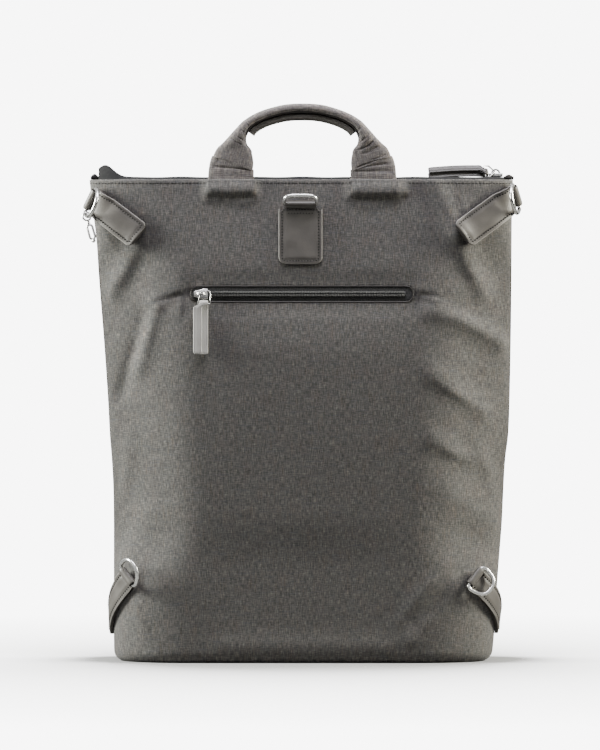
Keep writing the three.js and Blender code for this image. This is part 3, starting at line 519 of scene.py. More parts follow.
@dataclass(frozen=True)
class RibbedTape:
    """Black woven tape with fine ribs."""

    name: str
    colour: Colour = (0.034, 0.034, 0.034)
    ribs: float = 0.55

    def material(self) -> bpy.types.Material:
        """Makes the material."""
        tree = NodeTree(self.name)
        wave = tree.node("ShaderNodeTexWave", wave_type="BANDS", bands_direction="DIAGONAL")
        wave.inputs["Scale"].default_value = 1.0
        wave.inputs["Distortion"].default_value = 1.0
        tree.link(tree.cloth_place(self.ribs, self.ribs * 0.5), wave.inputs["Vector"])
        fuzz = tree.noise(tree.cloth_place(1.4, 0.5), 1.0, 3.0, 0.7)
        lint = tree.spread(fuzz, 0.42, 0.75, 0.0, 1.0)
        pale = tuple(min(1.0, 2.8 * c) for c in self.colour)
        colour = tree.mix(lint, self.colour, pale)
        bump = tree.bump(wave.outputs["Fac"], 0.2, 0.6, tree.bump(fuzz, 0.15, 0.5))
        return tree.finish(colour, 0.82, bump, Sheen_Weight=0.2, Sheen_Roughness=0.5,
                           Specular_IOR_Level=0.3)


@dataclass(frozen=True)
class SoftLeather:
    """Smooth leather with a fine grain and paler rubbed patches here and there."""

    name: str
    colour: Colour = (0.077, 0.071, 0.065)
    rubbed: Colour = (0.112, 0.103, 0.094)
    roughness: float = 0.44
    grain: float = 0.9

    def material(self) -> bpy.types.Material:
        """Makes the material."""
        tree = NodeTree(self.name)
        cells = tree.node("ShaderNodeTexVoronoi", feature="F1")
        cells.inputs["Scale"].default_value = 1.0
        tree.link(tree.solid_place(self.grain), cells.inputs["Vector"])
        pores = tree.noise(tree.solid_place(self.grain * 2.2), 1.0, 3.0, 0.6)
        clouds = tree.noise(tree.solid_place(0.07), 1.0, 2.0, 0.5)
        colour = tree.mix(tree.spread(clouds, 0.25, 0.8), self.colour, self.rubbed)
        colour = tree.mix(tree.spread(pores, 0.62, 0.8, 0.0, 0.35), colour,
                          tuple(0.5 * c for c in self.colour))
        rough = tree.spread(clouds, 0.3, 0.7, self.roughness - 0.07, self.roughness + 0.1)
        bump = tree.bump(cells.outputs["Distance"], 0.09, 0.5, tree.bump(pores, 0.06, 0.5))
        return tree.finish(colour, rough, bump, Coat_Weight=0.12, Coat_Roughness=0.3)


@dataclass(frozen=True)
class PlainFinish:
    """A plain painted, dyed or moulded surface with a little unevenness."""

    name: str
    colour: Colour
    roughness: float = 0.5
    uneven: float = 0.25
    size: float = 0.5
    depth: float = 0.08

    def material(self) -> bpy.types.Material:
        """Makes the material."""
        tree = NodeTree(self.name)
        noise = tree.noise(tree.solid_place(self.size), 1.0, 4.0, 0.6)
        dark = tuple(c * (1 - self.uneven) for c in self.colour)
        pale = tuple(min(1.0, c * (1 + self.uneven)) for c in self.colour)
        colour = tree.ramp(noise, [(0.3, dark), (0.7, pale)])
        rough = tree.spread(noise, 0.3, 0.7, self.roughness - 0.06, self.roughness + 0.08)
        return tree.finish(colour, rough, tree.bump(noise, self.depth, 0.5))


@dataclass(frozen=True)
class NickelPlate:
    """Bright nickel with faint scuffs."""

    name: str
    colour: Colour = (0.74, 0.735, 0.72)
    roughness: float = 0.16

    def material(self) -> bpy.types.Material:
        """Makes the material."""
        tree = NodeTree(self.name)
        scuffs = tree.noise(tree.solid_place(0.45), 1.0, 5.0, 0.7)
        dull = tuple(0.8 * c for c in self.colour)
        colour = tree.ramp(scuffs, [(0.35, dull), (0.6, self.colour)])
        rough = tree.spread(scuffs, 0.3, 0.75, self.roughness, self.roughness + 0.16)
        bump = tree.bump(scuffs, 0.02, 0.4)
        return tree.finish(colour, rough, bump, Metallic=1.0)


@dataclass
class Finishes:
    """All the finishes of the bag, each made once."""

    cloth: bpy.types.Material
    dark_cloth: bpy.types.Material
    handle: bpy.types.Material
    grip: bpy.types.Material
    tape: bpy.types.Material
    band: bpy.types.Material
    fold: bpy.types.Material
    teeth: bpy.types.Material
    thread: bpy.types.Material
    leather: bpy.types.Material
    pull_leather: bpy.types.Material
    pale_leather: bpy.types.Material
    edge: bpy.types.Material
    pale_edge: bpy.types.Material
    nickel: bpy.types.Material

    @classmethod
    def make(cls) -> "Finishes":
        """Makes every finish."""
        return cls(
            cloth=MelangeCloth("melange_cloth", tone=0.93).material(),
            # dark cloth for the side seams, the zip's right end and the piping round the base,
            # where its darkness is painted shade
            dark_cloth=MelangeCloth("dark_cloth_and_painted_shade", tone=0.4, contrast=0.8).material(),
            # the handle's cloth is the body's cloth made paler: a painted light, as if lit from
            # above
            handle=MelangeCloth("handle_cloth_painted_light", tone=1.3, contrast=0.9, warmth=0.05).material(),
            grip=RibbedTape("grip_cloth", colour=(0.05, 0.046, 0.04), ribs=0.8).material(),
            tape=RibbedTape("zip_tape").material(),
            band=PlainFinish("zip_band", (0.006, 0.006, 0.007), 0.9, 0.3).material(),
            # dark leather for the centre tab's fold: painted shade under its ring
            fold=SoftLeather("fold_leather_painted_shade", (0.03, 0.026, 0.022), (0.045, 0.04, 0.035)).material(),
            teeth=PlainFinish("zip_coil", (0.045, 0.045, 0.044), 0.5, 0.3).material(),
            thread=PlainFinish("thread", (0.008, 0.007, 0.006), 0.75, 0.4, 3.0).material(),
            leather=SoftLeather("tab_leather").material(),
            pull_leather=SoftLeather("pull_leather", (0.03, 0.027, 0.026), (0.05, 0.046, 0.044),
                                     0.42).material(),
            pale_leather=SoftLeather("pale_leather", (0.34, 0.33, 0.31), (0.46, 0.45, 0.43),
                                     0.46).material(),
            edge=PlainFinish("edge_paint", (0.016, 0.013, 0.011), 0.42, 0.35).material(),
            # pale finish of the tabs' rims: a painted highlight where their rounded edges catch the
            # light
            pale_edge=PlainFinish("painted_highlight_rim", (0.24, 0.225, 0.21), 0.4, 0.2).material(),
            nickel=NickelPlate("nickel").material(),
        )


@dataclass(frozen=True)
class Skin:
    """The outside of the bag: its level sections, its folds and places along its near face."""

    height: float = 420.0
    half_width: float = 184.5
    near_y: tuple[float, float] = (-58.0, -40.0)
    depth: tuple[float, float] = (116.0, 46.0)
    corner_reach: float = 62.0
    corner_share: float = 0.44
    far_radius: float = 10.0
    far_crown: float = 7.0
    dent: float = 4.0
    rounding: float = 9.0
    seam_fade: float = 24.0
    seam_gap: float = 0.4
    wall: float = 2.0
    steps: int = 24

    # height, left and right half widths, all in shares
    girth = np.array((
        (0.00, 0.885, 0.903), (0.05, 0.888, 0.915), (0.15, 0.888, 0.929), (0.22, 0.888, 0.941),
        (0.29, 0.888, 0.953), (0.36, 0.890, 0.960), (0.42, 0.897, 0.968), (0.47, 0.906, 0.982),
        (0.54, 0.914, 0.988), (0.66, 0.932, 0.993), (0.79, 0.955, 0.996), (0.88, 0.969, 0.997),
        (0.93, 0.983, 0.998), (1.00, 1.001, 1.003)))

    # folds: from x, z to x, z, breadth and rise, in shares of the half width and of the height
    folds = np.array((
        (0.63, 0.99, 0.74, 0.89, 0.045, 0.016), (0.74, 0.89, 0.86, 0.77, 0.055, 0.014),
        (0.63, 0.73, 0.96, 0.66, 0.050, 0.013), (0.62, 0.60, 0.86, 0.52, 0.055, 0.012),
        (0.63, 0.46, 0.80, 0.42, 0.050, 0.011), (0.72, 0.35, 0.90, 0.28, 0.090, 0.014),
        (0.72, 0.16, 0.52, 0.05, 0.050, 0.010), (-0.69, 0.74, -0.77, 0.61, 0.050, 0.013),
        (-0.74, 0.70, -0.86, 0.56, 0.045, -0.010), (-0.77, 0.87, -0.90, 0.77, 0.045, 0.012),
        (-0.54, 0.76, -0.74, 0.72, 0.035, -0.009), (0.56, 0.75, 0.72, 0.73, 0.035, -0.009),
        (-0.72, 0.30, -0.84, 0.20, 0.070, 0.011), (-0.35, 0.03, 0.40, 0.03, 0.060, 0.008)))

    @property
    def lean(self) -> float:
        """How far the near face leans back for each millimetre up."""
        return (self.near_y[1] - self.near_y[0]) / self.height

    def section(self, z: Array) -> dict[str, Array]:
        """The level section at heights z.

        Args:
            z: heights in millimetres.

        Returns:
            The left and right half widths and the near, seam and far places.
        """
        z = np.asarray(z, float)
        share = z / self.height
        ease = 0.5 * smoothstep(share, 0, 1) + 0.5 * share
        low = np.clip(self.rounding - z, 0, self.rounding)
        inset = self.rounding - np.sqrt(self.rounding ** 2 - low ** 2)
        near = lerp(*self.near_y, share) + inset
        depth = lerp(*self.depth, ease) - 2 * inset
        at = self.girth[:, 0]
        return {
            "left": smooth_column(at, self.girth[:, 1], share) * self.half_width - inset,
            "right": smooth_column(at, self.girth[:, 2], share) * self.half_width - inset,
            "near": near,
            "seam": near + depth * self.corner_share,
            "far": near + depth,
        }

    def reach(self, side: Array, z: Array) -> tuple[Array, Array, Array]:
        """The near face's flat stretch, the rise of its corner and the corner's lengths.

        Args:
            side: below 0 for the left.
            z: heights in millimetres.

        Returns:
            The flat stretch, the rise and the length at each step round the corner.
        """
        cut = self.section(z)
        half = np.where(np.asarray(side) < 0, cut["left"], cut["right"])
        rise = cut["seam"] - cut["near"]
        angle = (np.arange(self.steps) + 0.5) / self.steps * QUARTER
        speed = np.hypot(self.corner_reach * np.cos(angle),
                         np.expand_dims(rise, -1) * np.sin(angle))
        lengths = np.cumsum(speed * QUARTER / self.steps, axis=-1)
        lengths = np.concatenate((np.zeros_like(lengths[..., :1]), lengths), axis=-1)
        return half - self.corner_reach, rise, lengths

    def total(self, side: Array, z: Array) -> Array:
        """The length of the near face from its middle line to a side seam."""
        flat, _, lengths = self.reach(side, z)
        return flat + lengths[..., -1]

    def fold_rise(self, s: Array, z: Array) -> Array:
        """How far the folds and the handle's ends lift the near face."""
        rise = np.zeros(np.broadcast(s, z).shape)
        for x0, z0, x1, z1, breadth, height in self.folds:
            ax, az = x0 * self.half_width, z0 * self.height
            _, away = beside(s - ax, z - az, x1 * self.half_width - ax, z1 * self.height - az)
            rise = rise + height * self.half_width * bell(away, 0, breadth * self.half_width)
        return rise + Handle.swell * Handle.window(s) * smoothstep(
            z, self.height - 2 * Handle.end_depth, self.height - Handle.end_depth)

    def near(self, s: Array, z: Array) -> tuple[Array, Array]:
        """Places on the near face.

        Args:
            s: lengths along the face from its middle line.
            z: heights.

        Returns:
            The places and their outward normals.
        """
        s, z = np.broadcast_arrays(np.asarray(s, float), np.asarray(z, float))
        side = np.where(s < 0, -1.0, 1.0)
        flat, rise, lengths = self.reach(side, z)
        cut = self.section(z)
        past = np.abs(s) - flat
        k = np.clip((lengths[..., 1:-1] < np.expand_dims(past, -1)).sum(-1), 0, self.steps - 1)
        low = np.take_along_axis(lengths, np.expand_dims(k, -1), -1)[..., 0]
        high = np.take_along_axis(lengths, np.expand_dims(k + 1, -1), -1)[..., 0]
        angle = np.clip((k + (past - low) / (high - low)) / self.steps, 0, 1) * QUARTER
        x = np.where(past < 0, np.abs(s), flat + self.corner_reach * np.sin(angle))
        total = flat + lengths[..., -1]
        y = cut["near"] + rise * (1 - np.cos(angle)) + np.maximum(np.abs(s) - total, 0)
        normal = unit(np.stack((side * np.sin(angle) * rise, -np.cos(angle) * self.corner_reach,
                                np.zeros_like(z)), axis=-1))
        fade = (smoothstep(total - np.abs(s), 0, self.seam_fade)
                * smoothstep(z, 0, 2 * self.rounding))
        place = np.stack((side * x, y, z), axis=-1)
        return place + normal * np.expand_dims(fade * self.fold_rise(s, z), -1), normal

    def spot(self, s: float, z: float, lift: float = 0.0) -> Array:
        """One place on the near face, lifted off it."""
        place, normal = self.near(s, z)
        return place + normal * lift


@dataclass(frozen=True)
class Window:
    """The round-ended window of the pocket's zip."""

    length: float = 194.0
    height: float = 14.0
    x: float = 0.8
    z: float = 320.0

    @property
    def radius(self) -> float:
        """The radius of its ends."""
        return self.height / 2

    @property
    def core(self) -> float:
        """Half the length between the middles of its ends."""
        return self.length / 2 - self.radius


SKIN = Skin()
WINDOW = Window()
BRIDGE = 0.5 * (1.46 * 4.2 + 3.2)  # a link's height in its slider, between bridge and plate


@dataclass(frozen=True)
class Stitching:
    """A row of stitches: short threads that dip into the cloth or leather at both ends."""

    pitch: float = 3.1
    length: float = 2.2
    thick: float = 0.42
    proud: float = 0.3
    sides: int = 6

    def sew(self, sketch: MeshSketch, path: Array, normals: Array, finish: int = 0) -> None:
        """Sews stitches along a path.

        Args:
            sketch: takes the stitches.
            path: N places.
            normals: the outward normal at each place.
            finish: which of the piece's finishes the thread takes.
        """
        along = lengths_along(path)
        number = max(1, int(along[-1] / self.pitch))
        pitch = along[-1] / number
        for i in range(number):
            middle = (i + 0.5) * pitch
            at = middle + np.array((-0.5, -0.36, 0.0, 0.36, 0.5)) * self.length
            lift = np.array((-0.35, 0.5, 1.0, 0.5, -0.35)) * self.proud
            girth = np.array((0.45, 0.9, 1.0, 0.9, 0.45)) * self.thick
            place = places_at(at, along, path)
            normal = unit(places_at(at, along, normals))
            way = unit(place[-1] - place[0])
            across = unit(np.cross(way, normal))
            turn = np.arange(self.sides) / self.sides * math.tau
            rings = [place[j] + normal[j] * lift[j]
                     + girth[j] * (np.outer(np.cos(turn), normal[j]) * 0.8
                                   + np.outer(np.sin(turn), across[j]))
                     for j in range(len(at))]
            sketch.sweep(np.array(rings), Edge.FLAT, finish)


def tube(path: Array, radius: float, sides: int = 10, loop: bool = False,
         squash: float = 1.0, facing: Optional[Array] = None) -> Array:
    """Rings round a path.

    Args:
        path: N places.
        radius: the radius, or one for each place.
        sides: points round each ring.
        loop: whether the path is closed.
        squash: the second radius as a share of the first.
        facing: the way that the first radius faces, or none for towards the path's middle.

    Returns:
        An N by sides by 3 array.
    """
    path = np.asarray(path, float)
    if loop:
        way = unit(np.roll(path, -1, axis=0) - np.roll(path, 1, axis=0))
    else:
        way = unit(np.gradient(path, axis=0))
    if facing is None:
        facing = path.mean(axis=0) - path
    face = np.broadcast_to(facing, path.shape)
    face = unit(face - way * (face * way).sum(-1, keepdims=True))
    across = np.cross(way, face)
    turn = np.arange(sides) / sides * math.tau
    radius = np.broadcast_to(radius, (len(path),))[:, None, None]
    return path[:, None] + radius * (np.cos(turn)[None, :, None] * face[:, None]
                                     + squash * np.sin(turn)[None, :, None] * across[:, None])


def smooth_path(points: Array, count: int, loop: bool = False) -> Array:
    """A smooth curve through points, with evenly spread places along it.

    Args:
        points: the places it goes through.
        count: how many places it gives.
        loop: whether it is closed.

    Returns:
        A count by 3 array.
    """
    p = np.asarray(points, float)
    if loop:
        p = np.vstack((p[-1:], p, p[:2]))
    else:
        p = np.vstack((2 * p[0] - p[1], p, 2 * p[-1] - p[-2]))
    parts = []
    t = np.linspace(0, 1, 12, endpoint=False)[:, None]
    for a, b, c, d in zip(p[:-3], p[1:-2], p[2:-1], p[3:]):
        parts.append(0.5 * (2 * b + (c - a) * t + (2 * a - 5 * b + 4 * c - d) * t * t
                            + (3 * b - a - 3 * c + d) * t ** 3))
    dense = np.vstack(parts + [p[1:2] if loop else p[-2:-1]])
    along = lengths_along(dense)
    at = np.linspace(0, along[-1], count + (1 if loop else 0))[:count]
    return places_at(at, along, dense)


def put(piece: bpy.types.Object, body: str, slot: str, *nodes: str) -> bpy.types.Object:
    """Rides a piece on a body, in place of nodes.

    Args:
        piece: the piece.
        body: the body that it moves with.
        slot: the record's material slot; not used.
        nodes: the nodes that it stands for.

    Returns:
        The piece.
    """
    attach(piece, body)
    if nodes:
        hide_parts(*nodes)
    log.info("%s rides on %s", piece.name, body)
    return piece


@dataclass
class BagBody:
    """The sewn cloth body: the near panel wrapped round its corners, the sides, the far panel."""

    finishes: Finishes
    columns: int = 220
    slack_start: float = 86.0
    slack_stop: float = 34.0
    slack_share: float = 0.92
    crown: float = 2.6
    crown_reach: float = 118.0
    swell: float = 2.4
    hem_groove: float = 3.0
    hem_stitch: float = 3.4
    sharp: float = 60.0

    # padding of the handle's ends behind the hem: start, stop and foot
    padded_ends = ((-84.0, -37.0, 405.4), (42.0, 95.0, 404.6))

    # creases of the near panel: from x, z to x, z, breadth and rise in millimetres
    creases = np.array((
        (-96, 322, -126, 313, 2.6, -1.3), (-104, 322, -135, 300, 4.0, 1.0),
        (98, 321, 122, 317, 2.6, -1.3), (100, 324, 150, 296, 4.5, 1.1),
        (120, 306, 176, 279, 5.0, 1.5), (118, 244, 158, 219, 4.0, 1.4),
        (121, 187, 142, 176, 4.0, 1.2), (138, 408, 150, 376, 5.0, 1.4),
        (134, 366, 158, 320, 6.0, 1.7), (-126, 308, -141, 256, 5.0, 1.6),
        (-139, 294, -158, 240, 5.0, -1.3), (-140, 362, -165, 320, 6.0, 1.4),
        (138, 77, 101, 33, 7.0, -2.8), (124, 84, 84, 36, 6.5, 1.8),
        (-150, 60, -132, 20, 6.0, 1.2),
        (-62, 398, -40, 399, 3.0, 0.9), (44, 396, 74, 397, 3.0, 0.9),
        (150, 200, 172, 150, 7.0, 1.4), (-150, 200, -160, 140, 7.0, 1.1)))

    def crease_rise(self, s: Array, z: Array) -> Array:
        """How far the creases and the cloth's own unevenness lift the near panel."""
        rise = np.zeros(np.broadcast(s, z).shape)
        for x0, z0, x1, z1, breadth, height in self.creases:
            t, away = beside(s - x0, z - z0, x1 - x0, z1 - z0)
            rise = rise + (height * np.sin(np.pi * np.clip(t, 0.12, 0.88))
                           * bell(away, 0, breadth))
        sides = smoothstep(np.abs(s), 95, 150)
        swells = 0.55 * ripple(s, z, 3, 70) + 0.22 * ripple(s, z, 5, 24)
        rise = rise + (0.25 + 0.75 * sides) * swells
        # the face is crowned below the pocket and swells towards the pocket's zip
        free = smoothstep(z, 84, 130) * (1 - smoothstep(z, 268, 306))
        crown = self.crown * np.clip(1 - (s / self.crown_reach) ** 2, 0, 1) * free
        upward = smoothstep(z, 90, 290) * (1 - smoothstep(z, 296, 412))
        crown = crown + self.swell * upward * (1 - smoothstep(np.abs(s), 60, 170))
        rise = rise + crown
        # nothing lifts the cloth along the zip, the hem and the base
        calm = smoothstep(np.abs(z - WINDOW.z), 7.5, 26)
        calm = np.maximum(calm, smoothstep(np.abs(s), 98, 106))
        rise = rise * calm * smoothstep(SKIN.height - z, 4, 16) * smoothstep(z, 2, 16)
        for start, stop, foot in self.padded_ends:
            inside = smoothstep(s, start, start + 5) * (1 - smoothstep(s, stop - 5, stop))
            sunk = foot + 2.5 * ((s - 0.5 * (start + stop)) / (stop - start)) ** 2
            bulge = smoothstep(z, sunk, sunk + 3.2) * (
                1 - 0.7 * smoothstep(z, SKIN.height - 8, SKIN.height - 1))
            rise = rise + inside * (2.3 * bulge - 0.7 * bell(z, sunk - 1.0, 1.5))
        return rise

    def slack(self, s: Array, z: Array) -> Array:
        """How far the side bands, which hang slack between the tabs, lie back from a full curve."""
        flat, rise, _ = SKIN.reach(s, z)
        half = flat + SKIN.corner_reach
        x = np.abs(SKIN.near(s, z)[0][..., 0])
        full = rise * (1 - np.sqrt(1 - np.clip((x - flat) / SKIN.corner_reach, 0, 1) ** 2))
        start, stop = half - self.slack_start, half - self.slack_stop
        u = np.clip((x - start) / (stop - start), 0, 1)
        run = (stop - start) * (u ** 3 - 0.5 * u ** 4) + np.maximum(x - stop, 0)
        whole = 0.5 * (stop - start) + half - stop
        share = self.slack_share * smoothstep(z, 60, 118) * (1 - smoothstep(z, 342, 394))
        return share * (rise * np.minimum(run / whole, 1) - full)

    def snap_window(self, place: Array, s: Array, z: Array) -> tuple[Array, Array]:
        """Cuts the pocket's window out of the near panel's grid.

        Args:
            place: the grid's places.
            s: lengths along the face.
            z: heights.

        Returns:
            The mask of faces to keep, and the places, moved to the window's edge beside it.
        """
        dx = s - WINDOW.x
        nearest = np.clip(dx, -WINDOW.core, WINDOW.core)
        away = np.hypot(dx - nearest, z - WINDOW.z)
        middle = 0.25 * (away[:-1, :-1] + away[1:, :-1] + away[:-1, 1:] + away[1:, 1:])
        keep = middle > WINDOW.radius
        border, inner = np.zeros(s.shape, dtype=bool), np.ones(s.shape, dtype=bool)
        for rows in (slice(None, -1), slice(1, None)):
            for columns in (slice(None, -1), slice(1, None)):
                border[rows, columns] |= ~keep
                inner[rows, columns] &= ~keep
        edge = border & ~inner & (np.arange(s.shape[0]) > 0)[:, None]
        scale = np.where(edge, WINDOW.radius / np.maximum(away, 1e-6), 1.0)
        moved = place.copy()
        moved[..., 0] = np.where(edge, WINDOW.x + nearest + (dx - nearest) * scale, place[..., 0])
        moved[..., 2] = np.where(edge, WINDOW.z + (z - WINDOW.z) * scale, place[..., 2])
        return keep, moved

    def near_panel(self) -> bpy.types.Object:
        """Makes the near panel with its window, hem and folds."""
        low = np.array((0.0, 0.6, 1.4, 2.6, 4.2, 6.4, 9.0))
        beside_zip = WINDOW.radius + 1.5
        zip_rows = WINDOW.z + np.linspace(-beside_zip, beside_zip, 18)
        rows = np.concatenate((
            low, np.linspace(11, WINDOW.z - beside_zip - 2, 130), zip_rows,
            np.linspace(WINDOW.z + beside_zip + 2, SKIN.height - 4, 40),
            SKIN.height - np.array((2.4, 1.2, 0.5, 0.0))))
        u = np.linspace(-1, 1, self.columns + 1)
        z = np.repeat(rows[:, None], len(u), axis=1)
        total = np.where(u[None, :] < 0, SKIN.total(-1, z), SKIN.total(1, z))
        total = total - SKIN.seam_gap / 2
        s = u[None, :] * total
        place, normal = SKIN.near(s, z)
        fade = smoothstep(total - np.abs(s), 0, 16)
        place = place + normal * np.expand_dims(self.crease_rise(s, z) * fade, -1)
        place[..., 1] += self.slack(s, z)
        hem = (0.35 * bell(z, SKIN.height - self.hem_groove, 0.8)
               + 0.9 * smoothstep(z, SKIN.height - 1.4, SKIN.height))
        place = place - normal * np.expand_dims(hem, -1)
        keep, place = self.snap_window(place, s, z)
        sketch = MeshSketch()
        sketch.grid(place, np.stack((s, z), axis=-1), keep=keep)
        panel = sketch.build("back_cloth", [self.finishes.cloth], self.sharp)
        self.thicken(panel)
        return put(panel, BAG, "fabric", "back_panel")

    @staticmethod
    def thicken(panel: bpy.types.Object) -> None:
        """Turns the edges of a cloth panel inwards by a little less than its wall."""
        solid = panel.modifiers.new("wall", "SOLIDIFY")
        solid.thickness = (SKIN.wall - 0.1) * MM
        solid.offset = -1.0
        solid.use_rim = True
        solid.use_rim_only = True
        apply_modifiers(panel)

    @staticmethod
    def side_rows(count: int) -> Array:
        """The heights of a panel's rows, closer together where it curves under."""
        return np.concatenate((np.linspace(0, SKIN.rounding, 7),
                               np.linspace(12, SKIN.height, count)))[:, None]

    def gusset(self, side: int) -> bpy.types.Object:
        """Makes a side strip between the two panels."""
        z = self.side_rows(110)
        u = np.linspace(0, 1, 25)[None, :]
        cut = SKIN.section(z)
        half = cut[side_name(side)]
        gap = SKIN.seam_gap / 2
        y = lerp(cut["seam"] + gap, cut["far"] - SKIN.far_radius - gap, u)
        dent = SKIN.dent * np.sin(np.pi * u) * np.sin(np.pi * z / SKIN.height)
        zz = np.broadcast_to(z, y.shape)
        calm = np.sin(np.pi * u) * smoothstep(zz, 0, 20)
        x = side * (half - dent + calm * (0.7 * ripple(y, zz, 7 + side, 46)))
        sketch = MeshSketch()
        sketch.grid(np.stack((x, y, zz), axis=-1), np.stack((y, zz), axis=-1))
        name = side_name(side)
        strip = sketch.build(f"side_cloth_{name}", [self.finishes.cloth], self.sharp)
        self.face_out(strip, Vector((side, 0, 0)))
        self.thicken(strip)
        return put(strip, BAG, "fabric", f"gusset_{name}")

    @staticmethod
    def face_out(panel: bpy.types.Object, way: Vector) -> None:
        """Turns an open panel's faces so that they mostly face one way."""
        total = Vector()
        for face in panel.data.polygons:
            total += face.normal * face.area
        if total.dot(way) < 0:
            panel.data.flip_normals()

    def far_panel(self) -> bpy.types.Object:
        """Makes the far panel, crowned and turned round to the sides."""
        z = self.side_rows(120)
        cut = SKIN.section(z)
        angle = np.linspace(0, QUARTER - 0.5 * SKIN.seam_gap / SKIN.far_radius, 9)[None, :]
        parts = []
        for side, half in ((-1, cut["left"]), (1, cut["right"])):
            flat = half - SKIN.far_radius
            share = np.linspace(0, 1, 60)[None, :]
            crown = SKIN.far_crown * (1 - share ** 2) * np.sin(np.pi * z / SKIN.height)
            level = np.stack(np.broadcast_arrays(side * flat * share, cut["far"] + crown, z),
                             axis=-1)
            turned = np.stack(np.broadcast_arrays(
                side * (flat + SKIN.far_radius * np.sin(angle)),
                cut["far"] - SKIN.far_radius * (1 - np.cos(angle)), z), axis=-1)
            strip = np.concatenate((level, turned[:, 1:]), axis=1)
            parts.append(strip[:, ::-1] if side < 0 else strip[:, 1:])
        place = np.concatenate(parts, axis=1)
        x, zz = place[..., 0], place[..., 2]
        calm = (smoothstep(SKIN.half_width - 0.5 - np.abs(x), 12, 40) * smoothstep(zz, 2, 20)
                * smoothstep(SKIN.height - zz, 4, 20))
        place[..., 1] += calm * (0.9 * ripple(x, zz, 11, 120) + 0.35 * ripple(x, zz, 12, 40))
        sketch = MeshSketch()
        sketch.grid(place, np.stack((x, zz), axis=-1))
        panel = sketch.build("front_cloth", [self.finishes.cloth], self.sharp)
        self.face_out(panel, Vector((0, 1, 0)))
        self.thicken(panel)
        return put(panel, BAG, "fabric", "front_panel")

    def base(self) -> bpy.types.Object:
        """Makes the flat base with its turned edge."""
        outline = self.level_outline(0.0, SKIN.wall + SKIN.seam_gap)
        middle = outline.mean(axis=0)
        rings = []
        for inset, z in ((0.2, 2.3), (0.0, 1.9), (0.0, 0.7), (0.35, 0.15), (0.9, 0.0)):
            ring = outline + unit(middle - outline) * inset
            ring[:, 2] = z
            rings.append(ring)
        for share in (0.9, 0.75, 0.55, 0.3, 0.05):
            ring = middle + (outline - middle) * share
            ring[:, 2] = 0.05 + 0.3 * (1 - share)
            rings.append(ring)
        rings = np.array(rings)
        sketch = MeshSketch()
        sketch.sweep(rings, Edge.FLAT, cloth=rings[..., :2])
        panel = sketch.build("base_cloth", [self.finishes.cloth], self.sharp)
        return put(panel, BAG, "fabric", "base_panel")

    def level_outline(self, z: float, inset: float) -> Array:
        """The outline of the bag's section at a height, moved inwards."""
        cut = {name: float(value) for name, value in SKIN.section(z).items()}
        parts = []
        for side, half in ((-1, cut["left"]), (1, cut["right"])):
            angle = np.linspace(0, QUARTER, 16)
            reach = SKIN.corner_reach
            near = np.stack((side * (half - reach + (reach - inset) * np.sin(angle)),
                             cut["seam"] - (cut["seam"] - cut["near"] - inset) * np.cos(angle)), -1)
            radius = SKIN.far_radius - inset
            far = np.stack((side * (half - SKIN.far_radius + radius * np.cos(angle[::3])),
                            cut["far"] - SKIN.far_radius + radius * np.sin(angle[::3])), -1)
            corner = np.concatenate((near, far))
            parts.append(corner[::-1] if side < 0 else corner)
        flat = np.concatenate(parts)
        return np.column_stack((flat, np.full(len(flat), z)))

    def seams(self) -> bpy.types.Object:
        """Makes the hem's stitches, the sewn seams of the sides and the dark piping round the base,
        a real seam whose darkness is painted shade along the bottom edge.
        """
        sketch = MeshSketch()
        left, right = (float(SKIN.total(side, SKIN.height - self.hem_groove)) for side in (-1, 1))
        s = np.linspace(3 - left, right - 3, 260)
        place, normal = SKIN.near(s, np.full_like(s, SKIN.height - self.hem_stitch))
        Stitching(3.1, 2.1, 0.4, 0.2).sew(sketch, place, normal, 0)
        z = np.concatenate((np.linspace(1, SKIN.rounding, 6),
                            np.linspace(14, SKIN.height - 2, 60)))
        for side in (-1, 1):
            cut = SKIN.section(z)
            for y in (cut["seam"], cut["far"] - SKIN.far_radius):
                path = np.stack((side * (cut[side_name(side)] - 0.55), y, z), axis=-1)
                sketch.sweep(tube(path, 0.62, 8, facing=np.array((side, 0.0, 0.0))), Edge.FLAT, 1)
        # the piping round the base is dark cloth: painted shade along the bottom edge
        rim = self.level_outline(0.9, 1.1)
        rim = np.concatenate((rim, rim[:1]))
        along = lengths_along(rim)
        rim = places_at(np.linspace(0, along[-1], 321)[:-1], along, rim)
        sketch.sweep(tube(rim, 1.0, 8, True, facing=UP), Edge.LOOP, 1)
        seams = sketch.build("body_seams", [self.finishes.thread, self.finishes.dark_cloth], 50)
        return put(seams, BAG, "fabric")

    def build(self) -> None:
        """Makes the whole body."""
        self.near_panel()
        self.gusset(-1)
        self.gusset(1)
        self.far_panel()
        self.base()
        self.seams()


def apply_modifiers(piece: bpy.types.Object) -> None:
    """Makes a piece's modifiers part of its mesh."""
    graph = bpy.context.evaluated_depsgraph_get()
    made = bpy.data.meshes.new_from_object(piece.evaluated_get(graph), depsgraph=graph)
    old = piece.data
    piece.modifiers.clear()
    piece.data = made
    made.name = piece.name
    bpy.data.meshes.remove(old)


